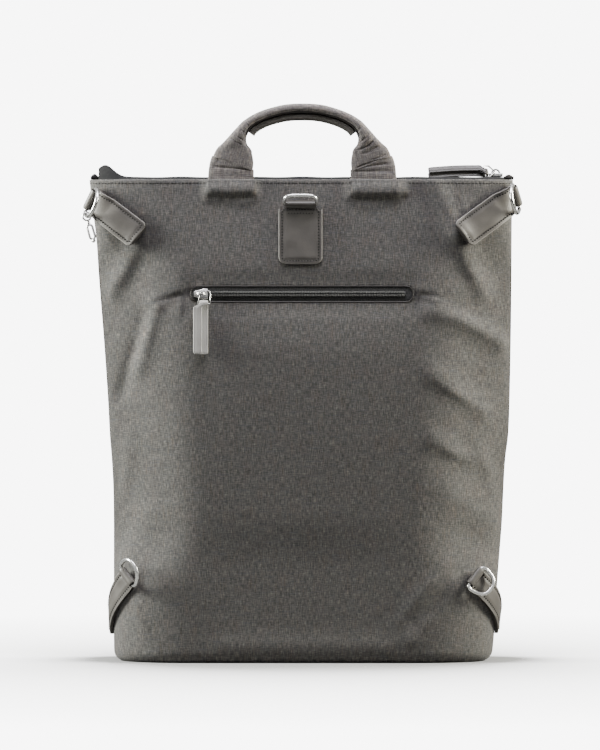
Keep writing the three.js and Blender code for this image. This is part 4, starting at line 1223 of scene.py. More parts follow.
@dataclass
class Handle:
    """The padded grab handle: flat stitched ends, pinched necks and a grip with a dark strip."""

    finishes: Finishes
    span: float = 124.0
    rise: float = 65.5
    middle: float = 1.0
    end_width: float = 40.0
    end_thickness: float = 5.0
    end_depth: float = 12.0
    swell: float = 2.6
    end_y: float = -37.5
    grip_breadth: float = 20.0
    strip_start: float = 0.262
    strip_thickness: float = 6.4
    strip_breadth: float = 13.0
    strip_gap: float = 0.35
    half_run: float = 118.0
    squareness: float = 0.75
    points: int = 56

    # half of the handle: at, away, rise, thickness and breadth in shares
    stations = np.array((
        (0.00, 1.000, -1.000, 0.98, 0.25), (0.10, 1.000, 0.000, 1.00, 0.25),
        (0.24, 0.966, 0.255, 0.89, 0.45), (0.33, 0.940, 0.390, 0.74, 0.58),
        (0.41, 0.918, 0.495, 0.46, 0.78), (0.48, 0.872, 0.600, 0.30, 0.92),
        (0.56, 0.776, 0.725, 0.22, 1.00), (0.70, 0.580, 0.838, 0.20, 1.00),
        (0.85, 0.320, 0.915, 0.20, 1.00), (0.93, 0.150, 0.938, 0.20, 1.00),
        (1.00, 0.000, 0.943, 0.20, 1.00)))

    # creases: side, from at, across to at, across, breadth and depth in millimetres
    creases = np.array((
        (1, 0.128, -0.80, 0.122, 0.80, 0.7, 0.9), (1, 0.168, -0.82, 0.158, 0.62, 0.8, 1.0),
        (1, 0.205, -0.70, 0.224, 0.66, 0.9, 0.9), (1, 0.236, 0.10, 0.262, 0.74, 0.8, 0.7),
        (1, 0.300, -0.30, 0.345, 0.50, 1.0, 0.8), (1, 0.345, -0.55, 0.395, 0.35, 1.0, 0.9),
        (1, 0.250, -0.62, 0.345, -0.74, 0.9, 0.9), (1, 0.380, 0.10, 0.425, 0.72, 0.9, 0.8),
        (1, 0.430, -0.60, 0.465, 0.40, 0.9, 0.7), (1, 0.520, -0.70, 0.535, 0.60, 0.8, 0.5),
        (-1, 0.142, -0.78, 0.140, 0.80, 0.7, 0.8), (-1, 0.104, -0.86, 0.104, 0.84, 0.7, 0.8),
        (-1, 0.155, 0.70, 0.200, 0.66, 0.9, 0.6), (-1, 0.395, -0.40, 0.425, 0.62, 0.9, 0.8),
        (-1, 0.440, -0.60, 0.462, 0.50, 0.8, 0.7), (-1, 0.500, -0.40, 0.520, 0.70, 0.9, 0.8),
        (-1, 0.560, -0.30, 0.575, 0.80, 0.9, 0.6), (-1, 0.640, -0.20, 0.648, 0.80, 0.8, 0.5)))

    @staticmethod
    def window(x: Array) -> Array:
        """1 across each end of the handle, falling to 0 beside it."""
        away = np.abs(np.abs(np.asarray(x, float) - Handle.middle) - Handle.span / 2)
        return 1 - smoothstep(away, Handle.end_width / 2, Handle.end_width / 2 + 8)

    @staticmethod
    def halves(share: Array) -> tuple[Array, Array]:
        """The side of places along the handle, and their share of the way up that half."""
        return np.where(share < 0.5, -1, 1), np.where(share < 0.5, 2 * share, 2 * (1 - share))

    def line(self, share: Array) -> tuple[Array, Array, Array]:
        """The handle's middle line, half thickness and half breadth.

        Args:
            share: places along it, from its left end at 0 to its right end at 1.

        Returns:
            The places, half thicknesses and half breadths.
        """
        side, at = self.halves(share)
        away, rise, thick, broad = (smooth_column(self.stations[:, 0], self.stations[:, k], at)
                                    for k in range(1, 5))
        z = SKIN.height + rise * np.where(rise < 0, self.end_depth, self.rise)
        x = self.middle + side * away * self.span / 2
        place = np.stack((x, np.full_like(x, self.end_y), z), axis=-1)
        return place, thick * self.end_width / 2, broad * self.grip_breadth / 2

    def frames(self, share: Array) -> tuple[Array, Array, Array, Array]:
        """The middle line with its half sizes and the way out of the bow at each place."""
        place, thick, broad = self.line(share)
        way = unit(self.line(share + 0.004)[0] - self.line(share - 0.004)[0])
        return place, thick, broad, -np.cross(AWAY, way)

    def crease_depth(self, share: Array, across: Array, thick: Array) -> Array:
        """How deep the creases press into the padding."""
        side, at = self.halves(share)
        depth = np.zeros(np.broadcast(share, across).shape)
        for which, a0, c0, a1, c1, breadth, deep in self.creases:
            _, away = beside((at - a0) * self.half_run, (across - c0) * thick,
                             (a1 - a0) * self.half_run, (c1 - c0) * thick)
            depth = depth + (side == which) * deep * bell(away, 0, breadth)
        return depth

    def padding(self) -> bpy.types.Object:
        """Makes the padded cloth with its creases."""
        share = np.concatenate((np.linspace(0, 0.3, 130), np.linspace(0.3, 0.7, 130)[1:-1],
                                np.linspace(0.7, 1, 130)))
        place, thick, broad, out = self.frames(share)
        turn = (np.arange(self.points) + 0.5) / self.points * math.tau
        c, s = squared(np.cos(turn), self.squareness), squared(np.sin(turn), self.squareness)
        sh, cc = share[:, None], c[None, :]
        depth = self.crease_depth(sh, cc, thick[:, None]) * np.abs(s)[None, :] ** 0.5
        run = 2 * self.half_run * sh
        puff = 0.35 * ripple(run, cc * thick[:, None], 21, 26)
        free = smoothstep(np.where(sh < 0.5, sh, 1 - sh), 0.045, 0.07)
        press = (puff - depth) * free
        rings = place[:, None] + out[:, None] * (cc * (thick[:, None] + 0.4 * press))[..., None]
        rings = rings + AWAY * (s[None, :] * np.maximum(broad[:, None] + press, 0.6))[..., None]
        cloth = np.stack(np.broadcast_arrays(cc * thick[:, None], run), axis=-1)
        sketch = MeshSketch()
        sketch.sweep(rings, Edge.FLAT, cloth=cloth)
        pad = sketch.build("handle_padding", [self.finishes.handle], 60)
        put(pad, BAG, "handle_fabric", "grab_handle")
        return pad

    def strip(self) -> bpy.types.Object:
        """Makes the dark strip under the grip, square at its ends and grooved along its middle."""
        share = np.linspace(self.strip_start, 1 - self.strip_start, 130)
        place, thick, _, out = self.frames(share)
        offset = thick + self.strip_gap + self.strip_thickness / 2
        h, w = self.strip_thickness / 2, self.strip_breadth / 2
        turn = (np.arange(48) + 0.5) / 48 * math.tau
        profile = np.column_stack((squared(np.cos(turn), 0.62) * h,
                                   squared(np.sin(turn), 0.45) * w))
        groove = 0.55 * bell(profile[:, 0], 0.35, 0.42)
        profile[:, 1] -= np.sign(profile[:, 1]) * groove
        rings = (place[:, None] + out[:, None] * (profile[None, :, 0] - offset[:, None])[..., None]
                 + AWAY * profile[None, :, 1, None])
        sketch = MeshSketch()
        sketch.sweep(rings, Edge.FLAT)
        strip = sketch.build("handle_strip", [self.finishes.grip], 50)
        return put(strip, BAG, "grip_strip", "grip_strip")

    def trim(self) -> bpy.types.Object:
        """Makes the dark seams along the grip and the stitched boxes of the ends."""
        sketch = MeshSketch()
        share = np.linspace(self.strip_start - 0.012, 1 - self.strip_start + 0.012, 120)
        place, thick, broad, out = self.frames(share)
        for side in (-1, 1):
            path = place - out * (0.93 * thick)[:, None] + AWAY * (side * 0.72 * broad)[:, None]
            sketch.sweep(tube(path, 0.75, 8, facing=side * AWAY), Edge.FLAT, 1)
        for start, end in ((0.165, 0.258), (0.742, 0.835)):
            share = np.linspace(start, end, 50)
            place, thick, broad, out = self.frames(share)
            path = place - out * (0.985 * thick)[:, None] - AWAY * (0.3 * broad)[:, None]
            sketch.sweep(tube(path, 0.55, 8, facing=-UP + 1e-3), Edge.FLAT, 1)
        for side in (-1, 1):
            for at, low, high in ((0.072, -0.78, 0.74), (0.1, -0.72, 0.74)):
                share = at / 2 if side < 0 else 1 - at / 2
                place, thick, broad, out = (v[0] for v in self.frames(np.array([share])))
                c = np.linspace(low, high, 30)
                s = (1 - np.abs(c) ** (2 / self.squareness)) ** (self.squareness / 2)
                path = place + np.outer(c * thick, out) - np.outer(s * broad - 0.55, AWAY)
                normals = np.tile(-AWAY, (len(c), 1))
                Stitching(2.6, 1.9, 0.36, 0.25).sew(sketch, path, normals, 0)
        trim = sketch.build("handle_trim", [self.finishes.thread, self.finishes.edge], 50)
        return put(trim, BAG, "handle_fabric")

    def build(self) -> None:
        """Makes the whole handle."""
        self.padding()
        self.strip()
        self.trim()


@dataclass
class Closure:
    """The zip top: black bands tucked inside the hem, coils of teeth, sewn ends and a slider."""

    finishes: Finishes
    end_inset: float = 6.0
    tuck: float = 11.0
    drop: float = 3.0
    arch: float = 1.2
    hump: float = 4.5
    far_pull: float = 5.0
    teeth_width: float = 6.0
    end_width: float = 15.0
    middle_y: float = -17.0
    band_thickness: float = 1.3
    pitch: float = 1.5
    columns: int = 200

    @property
    def reach(self) -> float:
        """Half the length of the bands."""
        return SKIN.half_width - self.end_inset - SKIN.wall

    def rise(self, x: Array) -> Array:
        """How high the closure stands above the hem."""
        return self.arch + self.hump * bell(x, -0.925 * SKIN.half_width, 0.055 * SKIN.half_width)

    def inner_near(self, x: Array, z: float) -> Array:
        """The inside of the near face, where the band is tucked in."""
        cut = SKIN.section(z)
        half = np.where(x < 0, cut["left"], cut["right"])
        past = np.maximum(np.abs(x) - (half - SKIN.corner_reach), 0)
        share = np.minimum(past / (SKIN.corner_reach - SKIN.wall), 1)
        inner = cut["seam"] - cut["near"] - SKIN.wall
        return cut["seam"] - inner * np.sqrt(1 - share ** 2) - Handle.swell * Handle.window(x)

    def hem(self, x: Array, side: int) -> Array:
        """Where a band meets the inside of the hem."""
        if side < 0:
            pocket = (Handle.end_thickness + 2 * SKIN.seam_gap) * Handle.window(x)
            inner = np.maximum(self.inner_near(x, SKIN.height),
                               self.inner_near(x, SKIN.height - self.tuck))
            return inner + SKIN.seam_gap + pocket
        far = float(SKIN.section(SKIN.height)["far"])
        return far - SKIN.wall - SKIN.seam_gap - self.far_pull * (x / SKIN.half_width) ** 8

    def band(self, side: int) -> bpy.types.Object:
        """Makes one band."""
        x = np.linspace(-self.reach, self.reach, self.columns)[:, None]
        shares = np.array((1, 1, 1, 1, 0.97, 0.86, 0.6, 0.3, 0.0))
        drops = np.array((self.tuck, 8, 5, self.drop, 2.2, 1.35, 0.6, 0.2, 0.0))
        lifts = np.array((0, 0, 0, 0, 1.4, 2.5, 2.4, 1.7, 1.0))
        hem = self.hem(x, side)
        teeth = self.middle_y + side * (self.teeth_width / 2 + SKIN.seam_gap)
        y = lerp(teeth, hem, shares[None, :])
        z = SKIN.height - drops[None, :] + lifts[None, :] * self.rise(x)
        z = z + 0.3 * (drops[None, :] < 3) * ripple(x, y, 31 + side, 30)
        xx = np.broadcast_to(x, y.shape)
        top = np.stack((xx, y, z), axis=-1)
        inward = np.where(lifts[None, :, None] == 0, -side * AWAY, -UP)
        under = top + inward * self.band_thickness
        sketch = MeshSketch()
        rings = np.concatenate((top, under[:, ::-1]), axis=1)
        sketch.sweep(rings, Edge.FLAT)
        name = "back" if side < 0 else "front"
        band = sketch.build(f"zip_band_{name}", [self.finishes.band], 50)
        return put(band, BAG, "zip_tape", f"top_band_{name}")

    def teeth(self) -> bpy.types.Object:
        """Makes the two interlocked coils on their bed."""
        sketch = MeshSketch()
        x = np.linspace(-self.reach, self.reach, 120)
        z = SKIN.height + self.rise(x)
        bed = [np.stack((x, np.full_like(x, self.middle_y + y), z + h), axis=-1)
               for y, h in ((-2.9, -1.2), (2.9, -1.2), (2.9, -0.3), (1.2, 0.0), (-1.2, 0.0),
                            (-2.9, -0.3))]
        sketch.sweep(np.stack(bed, axis=1), Edge.FLAT, 1)
        for i in range(int(2 * self.reach / self.pitch)):
            at = -self.reach + (i + 0.5) * self.pitch
            up = float(SKIN.height + self.rise(at))
            side = 1 if i % 2 else -1
            path = np.array([(at, self.middle_y + side * y, up + h) for y, h in
                             ((-0.9, -0.1), (-0.5, 0.75), (0.6, 0.85), (1.9, 0.5), (2.6, -0.2))])
            sketch.sweep(tube(path, 0.52, 6, facing=UP), Edge.FLAT, 0)
        teeth = sketch.build("top_zip_coils", [self.finishes.teeth, self.finishes.tape], 50)
        return put(teeth, BAG, "zip_teeth", "top_teeth")

    def end(self, side: int) -> bpy.types.Object:
        """Makes the sewn end of the zip: a cloth tab folded over the band's end."""
        start = self.reach + SKIN.seam_gap
        stop, rise = (SKIN.half_width - 1, 5.0) if side < 0 else (SKIN.half_width + 1, 4.4)
        rings = []
        for t in np.linspace(0, 1, 14):
            lift = rise * (0.5 + 0.5 * math.sin(math.pi * min(max(t, 0.06), 0.94)))
            turn = np.arange(26) / 26 * math.tau
            y = squared(np.cos(turn), 0.5) * self.end_width / 2
            h = lift / 2 + squared(np.sin(turn), 0.6) * lift / 2
            x = side * lerp(start, stop, t)
            wobble = 1 + 0.05 * np.sin(3 * turn + 5 * t)
            rings.append(np.stack((np.full(26, x), self.middle_y + y * wobble,
                                   SKIN.height + 0.4 + h), axis=-1))
        sketch = MeshSketch()
        sketch.sweep(np.array(rings), Edge.FLAT)
        name = side_name(side)
        cloth = self.finishes.band if side < 0 else self.finishes.dark_cloth
        end = sketch.build(f"zip_end_cloth_{name}", [cloth], 50)
        return put(end, BAG, "fabric", f"zip_end_{name}")

    def build(self) -> None:
        """Makes the whole closure but its slider."""
        self.band(-1)
        self.band(1)
        self.teeth()
        self.end(-1)
        self.end(1)


@dataclass
class PocketZip:
    """The back pocket's zip: tape, coils, welt, slider, link and folded pale pull."""

    finishes: Finishes
    slider_x: float = -87.0
    pitch: float = 1.35
    straight: int = 40

    @property
    def face_y(self) -> float:
        """The near side of the tape."""
        return float(SKIN.section(WINDOW.z)["near"]) + 0.4 * SKIN.wall - SKIN.seam_gap

    def outline(self, inset: float, y: float, lean: float = 0.0) -> Array:
        """The window's outline moved inwards.

        Args:
            inset: how far inwards.
            y: how far off it lies.
            lean: how far it leans back for each millimetre up.

        Returns:
            Places round it.
        """
        radius, core = WINDOW.radius - inset, WINDOW.core
        turn = np.linspace(-QUARTER, QUARTER, 24)
        right = np.stack((core + radius * np.cos(turn), radius * np.sin(turn)), axis=-1)
        across = np.linspace(core, -core, self.straight + 2)[1:-1]
        above = np.stack((across, np.full(self.straight, radius)), axis=-1)
        right = np.concatenate((right, above))
        flat = np.concatenate((right, -right))
        return np.stack((WINDOW.x + flat[:, 0], y + lean * flat[:, 1], WINDOW.z + flat[:, 1]),
                        axis=-1)

    def tape(self) -> bpy.types.Object:
        """Makes the tape and the rolled welt round the window."""
        sketch = MeshSketch()
        rings = []
        for inset, deep in ((0.5, 1.2), (0.5, 0.15), (0.9, 0.0), (3.0, -0.1), (4.6, 0.0),
                            (6.4, 0.1)):
            rings.append(self.outline(inset, self.face_y + 0.4 + deep))
        sketch.sweep(np.array(rings), Edge.FLAT, 0, np.array(rings)[..., [0, 2]])
        welt = self.outline(0.15, self.face_y - 0.25, SKIN.lean)
        sketch.sweep(tube(smooth_path(welt, 300, True), 0.62, 8, True, facing=UP + 1e-3),
                     Edge.LOOP, 1)
        tape = sketch.build("pocket_zip_tape", [self.finishes.tape, self.finishes.edge], 50)
        return put(tape, BAG, "zip_tape", "pocket_tape")

    def coils(self) -> bpy.types.Object:
        """Makes the two fine coils that meet along the middle."""
        sketch = MeshSketch()
        start, stop = self.slider_x + 6.4, WINDOW.x + WINDOW.length / 2 - 7
        across = ((-2.3, 0.0), (-1.6, 0.7), (-0.25, 0.8), (0, 0.35), (0.25, 0.8), (1.6, 0.7),
                  (2.3, 0.0))
        bed = np.array([[(x, self.face_y - y, WINDOW.z + z) for z, y in across]
                        for x in np.linspace(start, stop, 3)])
        sketch.sweep(bed, Edge.FLAT, 1)
        wire = ((2.4, 0.1), (2.0, 1.0), (1.1, 1.25), (0.35, 0.7))
        for i in range(int((stop - start) / self.pitch)):
            x = start + (i + 0.5) * self.pitch
            for side in (-1, 1):
                path = np.array([(x + k * 0.12, self.face_y - y, WINDOW.z + side * z)
                                 for k, (z, y) in enumerate(wire)])
                sketch.sweep(tube(path, 0.42, 5, facing=-AWAY), Edge.FLAT, 0)
        coils = sketch.build("pocket_zip_coils", [self.finishes.teeth, self.finishes.tape], 50)
        return put(coils, BAG, "zip_teeth", "pocket_teeth")

    def build(self) -> None:
        """Makes the pocket's zip without its slider."""
        self.tape()
        self.coils()


@dataclass
class RoundedMetal:
    """A metal node kept in shape but with its facets worked smooth."""

    finishes: Finishes
    nodes: dict[str, bpy.types.Object]

    def smooth(self, node: str, name: str, body: str) -> bpy.types.Object:
        """Makes a smooth copy of a node.

        Args:
            node: the node.
            name: the new piece's name.
            body: the body it rides on.

        Returns:
            The new piece.
        """
        piece = self.nodes[node].copy()
        piece.data = piece.data.copy()
        piece.name = piece.data.name = name
        bpy.context.scene.collection.objects.link(piece)
        piece.data.materials.clear()
        piece.data.materials.append(self.finishes.nickel)
        tidy_normals(piece.data, 0.01)
        bevel = piece.modifiers.new("edges", "BEVEL")
        bevel.width = 0.28 * MM
        bevel.segments = 2
        bevel.limit_method = "ANGLE"
        bevel.angle_limit = math.radians(50)
        apply_modifiers(piece)
        piece.data.shade_smooth()
        piece.data.set_sharp_from_angle(angle=math.radians(55))
        return put(piece, body, "metal", node)


def matrix_of(x: Array, y: Array, z: Array, at: Array) -> Array:
    """A 4 by 4 placement from its axes and origin."""
    made = np.eye(4)
    made[:3, 0], made[:3, 1], made[:3, 2], made[:3, 3] = x, y, z, at
    return made


def place_by(matrix: Array, points: Array) -> Array:
    """Points moved by a placement."""
    return points @ matrix[:3, :3].T + matrix[:3, 3]


@dataclass
class StrapTab:
    """A leather tab: a stitched patch, the round fold at its end and the D-ring in the fold."""

    finishes: Finishes
    name: str
    end: tuple[float, float]
    fold: tuple[float, float]
    width: float
    fold_width: float
    angle: float
    bow: float = 0.0
    reach: float = 17.0
    rows: int = 1
    thickness: float = 2.8
    lift: float = 0.5
    outer: float = 3.7
    wire: float = 1.75
    overhang: float = 3.4
    squareness: float = 0.8
    seam: float = 3.1
    corner_share: float = 0.16

    @property
    def top(self) -> float:
        """How high the leather's face stands off the skin."""
        return self.lift + self.thickness

    @property
    def meet(self) -> float:
        """The angle round the fold at which the leather's face runs into it."""
        return math.asin((self.lift + self.outer - self.top) / self.outer)

    @property
    def length(self) -> float:
        """From the sewn end to the fold."""
        return math.hypot(self.fold[0] - self.end[0], self.fold[1] - self.end[1])

    @property
    def step(self) -> Array:
        """The way from the sewn end to the fold, along the skin."""
        return (np.array(self.fold) - np.array(self.end)) / self.length

    def frame(self) -> Array:
        """The placement of the fold: out of the patch, off the skin, and across."""
        here, normal = SKIN.near(self.fold[0], self.fold[1])
        before = SKIN.spot(self.fold[0] - self.step[0] * self.outer,
                           self.fold[1] - self.step[1] * self.outer)
        out = here - before
        out = unit(out - normal * (out @ normal))
        return matrix_of(out, normal, np.cross(out, normal), here)

    def fold_start(self) -> float:
        """Where the patch turns into the fold."""
        return self.length - self.outer * math.cos(self.meet)

    def on_patch(self, t: Array, height: Array, across: Array) -> Array:
        """Places on the tab at t from its sewn end, at a height and across it."""
        t, height, across = np.broadcast_arrays(t, height, across)
        rigid = place_by(self.frame(), np.stack((t - self.length, height, across), axis=-1))
        place, normal = SKIN.near(self.end[0] + self.step[0] * t + self.step[1] * across,
                                  self.end[1] + self.step[1] * t - self.step[0] * across)
        bow = self.bow * np.sin(np.pi * np.clip(t / self.length, 0, 1))
        soft = place + normal * np.expand_dims(height + bow, -1)
        back = self.fold_start()
        share = np.expand_dims(smoothstep(t, back - 4 * self.outer, back), -1)
        return soft * (1 - share) + rigid * share

    def half(self, t: Array) -> Array:
        """Half the tab's width at t, rounded at its sewn end."""
        corner = self.corner_share * self.width
        cut = corner - np.sqrt(np.maximum(corner ** 2 - np.maximum(corner - t, 0) ** 2, 0))
        back = self.fold_start()
        shoulder = smoothstep(t, back - 2.2, back)
        return lerp(self.width, self.fold_width, shoulder) / 2 - cut

    def leather(self) -> bpy.types.Object:
        """Makes the patch, its dark edges and the fold, each with its own finish; the centre tab's
        fold is dark, a painted shade under its ring.
        """
        sketch = MeshSketch()
        self.patch(sketch)
        self.round_fold(sketch)
        materials = [self.finishes.leather, self.finishes.edge, self.finishes.fold]
        piece = sketch.build(f"leather_{self.name}", materials, 45, 0.02)
        return put(piece, BAG, "leather", f"tab_{self.name}")

    def patch(self, sketch: MeshSketch) -> None:
        """Adds the patch with its padded middle and its edges."""
        top, back = self.top, self.fold_start()
        t = np.concatenate((np.linspace(0.0, 3, 14), np.linspace(3.6, back, 46)))[:, None]
        w = np.concatenate((np.linspace(-1, -0.86, 7), np.linspace(-0.84, 0.84, 33),
                            np.linspace(0.86, 1, 7)))[None, :]
        half = self.half(t)
        across = w * half
        along = np.broadcast_to(t, across.shape)
        rim = np.minimum(half - np.abs(across), t)
        height = (top - 0.55 * (1 - smoothstep(rim, 0.0, 0.7)) - 0.12 * bell(rim, self.seam, 0.8)
                  + 0.5 * smoothstep(rim, self.seam, self.seam + 3.5)
                  + 0.12 * ripple(along, across, 41, 13))
        height = lerp(height, top, smoothstep(t, back - 3, back))
        sketch.grid(self.on_patch(t, height, across), np.stack((across, along), -1))
        levels = np.array((top - 0.55, top - 0.8, top - 1.2, self.lift + 0.4, self.lift - 0.3))
        bulge = np.array((0.0, 0.12, 0.16, 0.16, 0.0))
        for side in (-1, 1):
            sketch.grid(self.on_patch(t, levels[None, :], side * (half + bulge[None, :])), finish=1)
        # the dark edge of the sewn end flares out below the face: real edge paint, widened so that
        # it also shows as painted shade under the end
        flare = np.array((0.0, 0.5, 0.9, 1.3, 1.2))
        ends = w[0] * self.half(np.zeros(1))
        sketch.grid(self.on_patch(-flare[:, None], levels[:, None], ends[None, :]), finish=1)

    def round_fold(self, sketch: MeshSketch) -> None:
        """Adds the fold round the ring's bar, with its cut ends."""
        middle, bore = self.lift + self.outer, self.wire + 0.45
        turn = np.linspace(math.pi + self.meet, -QUARTER - 0.5, 44)[:, None]
        wide = np.linspace(-1, 1, 25)[None, :]
        radius = self.outer * (1 - 0.1 * np.abs(wide) ** 8)
        # the centre tab, the one with two rows, takes the dark fold finish on its fold: painted
        # shade under its ring
        rings = [(radius, wide * self.fold_width / 2, 2 if self.rows > 1 else 0)]
        radii = np.array(((self.outer * 0.9, self.outer * 0.82, bore + 0.1, bore),))
        deep = np.array(((0.0, 0.15, 0.12, -0.5),))
        rings += [(radii, side * (self.fold_width / 2 + deep), 1) for side in (-1, 1)]
        for radius, across, finish in rings:
            points = np.stack(np.broadcast_arrays(
                radius * np.cos(turn), middle + radius * np.sin(turn), across), axis=-1)
            sketch.grid(place_by(self.frame(), points), finish=finish)

    def border(self, inset: float, back: float) -> tuple[Array, Array]:
        """A line round the patch at an inset from its edge, as places along and across it."""
        half = self.width / 2 - inset
        corner = max(1.2, self.corner_share * self.width - inset)
        turn = np.linspace(0, QUARTER, 7)
        straight = np.linspace(back, inset + corner, 30)
        t = np.concatenate((straight, inset + corner * (1 - np.sin(turn))))
        w = np.concatenate((np.full(30, half), half - corner * (1 - np.cos(turn))))
        return np.concatenate((t, t[::-1])), np.concatenate((w, -w[::-1]))

    def stitches(self) -> bpy.types.Object:
        """Sews the tab's border and draws a pale rim round it, a painted highlight along the
        leather's edge.
        """
        sketch = MeshSketch()
        back = self.fold_start() - 1.2
        self.sew(sketch, *self.border(self.seam, back))
        for k in range(self.rows):
            wide = self.fold_width / 2 - 1.5 if k else self.width / 2 - self.seam
            w = np.linspace(-wide, wide, 24)
            self.sew(sketch, np.full(24, back + 0.6 - 3.2 * k), w)
        # the pale rim is a painted highlight along the patch's edge
        t, w = self.border(0.55, back + 1.2)
        rim = self.on_patch(t, np.full(len(t), self.top - 0.5), w)
        sketch.sweep(tube(rim, 0.5, 8, facing=UP + 1e-3), Edge.FLAT, 1)
        finishes = [self.finishes.thread, self.finishes.pale_edge]
        piece = sketch.build(f"sewing_{self.name}", finishes, 50)
        return put(piece, BAG, "leather")

    def sew(self, sketch: MeshSketch, t: Array, w: Array) -> None:
        """Sews a row of stitches along places on the patch."""
        height = np.full(len(t), self.top - 0.05)
        path = self.on_patch(t, height, w)
        above = self.on_patch(t, height + 1.0, w)
        Stitching(2.5, 1.35, 0.62, 0.5).sew(sketch, path, unit(above - path), 0)

    def ring(self) -> bpy.types.Object:
        """Makes the D-ring round its bar."""
        half = self.fold_width / 2 + self.overhang
        turn = np.linspace(1, -1, 28) * QUARTER * 0.93
        arc = np.stack((self.reach * np.cos(turn) ** self.squareness, 0 * turn,
                        np.sign(turn) * half * np.abs(np.sin(turn)) ** self.squareness), axis=-1)
        bar = np.array([(0.0, 0.0, k * (half - self.wire)) for k in (-1, -0.5, 0, 0.5, 1)])
        path = smooth_path(np.concatenate((bar, arc)), 110, True)
        angle = math.radians(self.angle)
        c, s = math.cos(angle), math.sin(angle)
        path = np.stack((c * path[:, 0], s * path[:, 0], path[:, 2]), axis=-1)
        path[:, 1] += self.lift + self.outer
        path = place_by(self.frame(), path)
        sketch = MeshSketch()
        sketch.sweep(tube(path, self.wire * 0.98, 16, True), Edge.LOOP)
        ring = sketch.build(f"d_ring_{self.name}", [self.finishes.nickel], 60)
        return put(ring, f"ring_{self.name}", "metal", f"ring_{self.name}")

    def build(self) -> None:
        """Makes the tab and its ring."""
        self.leather()
        self.stitches()
        self.ring()


@dataclass
class LeatherPull:
    """A zip pull folded over its link: a front leg, and a rear leg set off sideways."""

    material: bpy.types.Material
    name: str
    node: str
    slot: str
    origin: Array
    along: Array
    outward: Array
    length: float
    sag: float = 0.0
    splay: float = 5.4
    wide: float = 7.4
    thick: float = 2.2
    eye: float = 1.15

    def frame(self) -> Array:
        """The pull's placement: along it, out of its face, and across."""
        x = unit(self.along)
        y = unit(self.outward - x * (self.outward @ x))
        return matrix_of(x, y, np.cross(x, y), self.origin)

    def middle_line(self, front: bool) -> Array:
        """The middle of a leg, with the half turn over the link for the front one."""
        mid = self.eye + self.thick / 2 - 0.1
        if front:
            turn = np.linspace(0, math.pi, 22)
            arc = np.stack((-mid * np.sin(turn), -mid * np.cos(turn)), axis=-1)
            x = np.linspace(0.5, self.length, 46)
            line = np.concatenate((arc, np.stack((x, np.full(46, mid)), axis=-1)))
        else:
            x = np.linspace(0.0, self.length, 48)
            line = np.stack((x, np.full(48, -mid)), axis=-1)
        pinch = 0.55 * (self.eye - 0.27)
        line[:, 1] -= np.sign(line[:, 1]) * pinch * smoothstep(line[:, 0], 1.0, 9.0)
        return line

    def leg(self, sketch: MeshSketch, front: bool) -> None:
        """Adds one leg, thinner at its edges and a little narrower at its end."""
        line = self.middle_line(front)
        share = np.clip(line[:, 0] / self.length, 0, 1)
        shift = (self.splay if front else 0.0) * smoothstep(share, 0, 0.09)
        shift = shift + self.sag * np.sin(np.pi * share)
        end = smoothstep(line[:, 0], self.length - 1.6, self.length)
        way = unit(np.gradient(line, axis=0))
        rings = []
        for turn in (np.arange(28) + 0.5) / 28 * math.tau:
            c, s = squared(math.cos(turn), 0.4), squared(math.sin(turn), 0.55)
            z = c * (self.wide / 2) * (1 - 0.22 * end) + shift
            h = s * (self.thick / 2 - 0.12) * (1 - 0.25 * end)
            h = h - 0.22 * np.sign(s) * bell(abs(c), 0.62, 0.1)
            rings.append(np.stack((line[:, 0] - way[:, 1] * h, line[:, 1] + way[:, 0] * h, z), -1))
        sketch.sweep(place_by(self.frame(), np.stack(rings, axis=1)))

    def build(self) -> None:
        """Makes the pull of its two legs."""
        sketch = MeshSketch()
        self.leg(sketch, True)
        self.leg(sketch, False)
        piece = sketch.build(self.name, [self.material], 40)
        put(piece, BAG, self.slot, self.node)


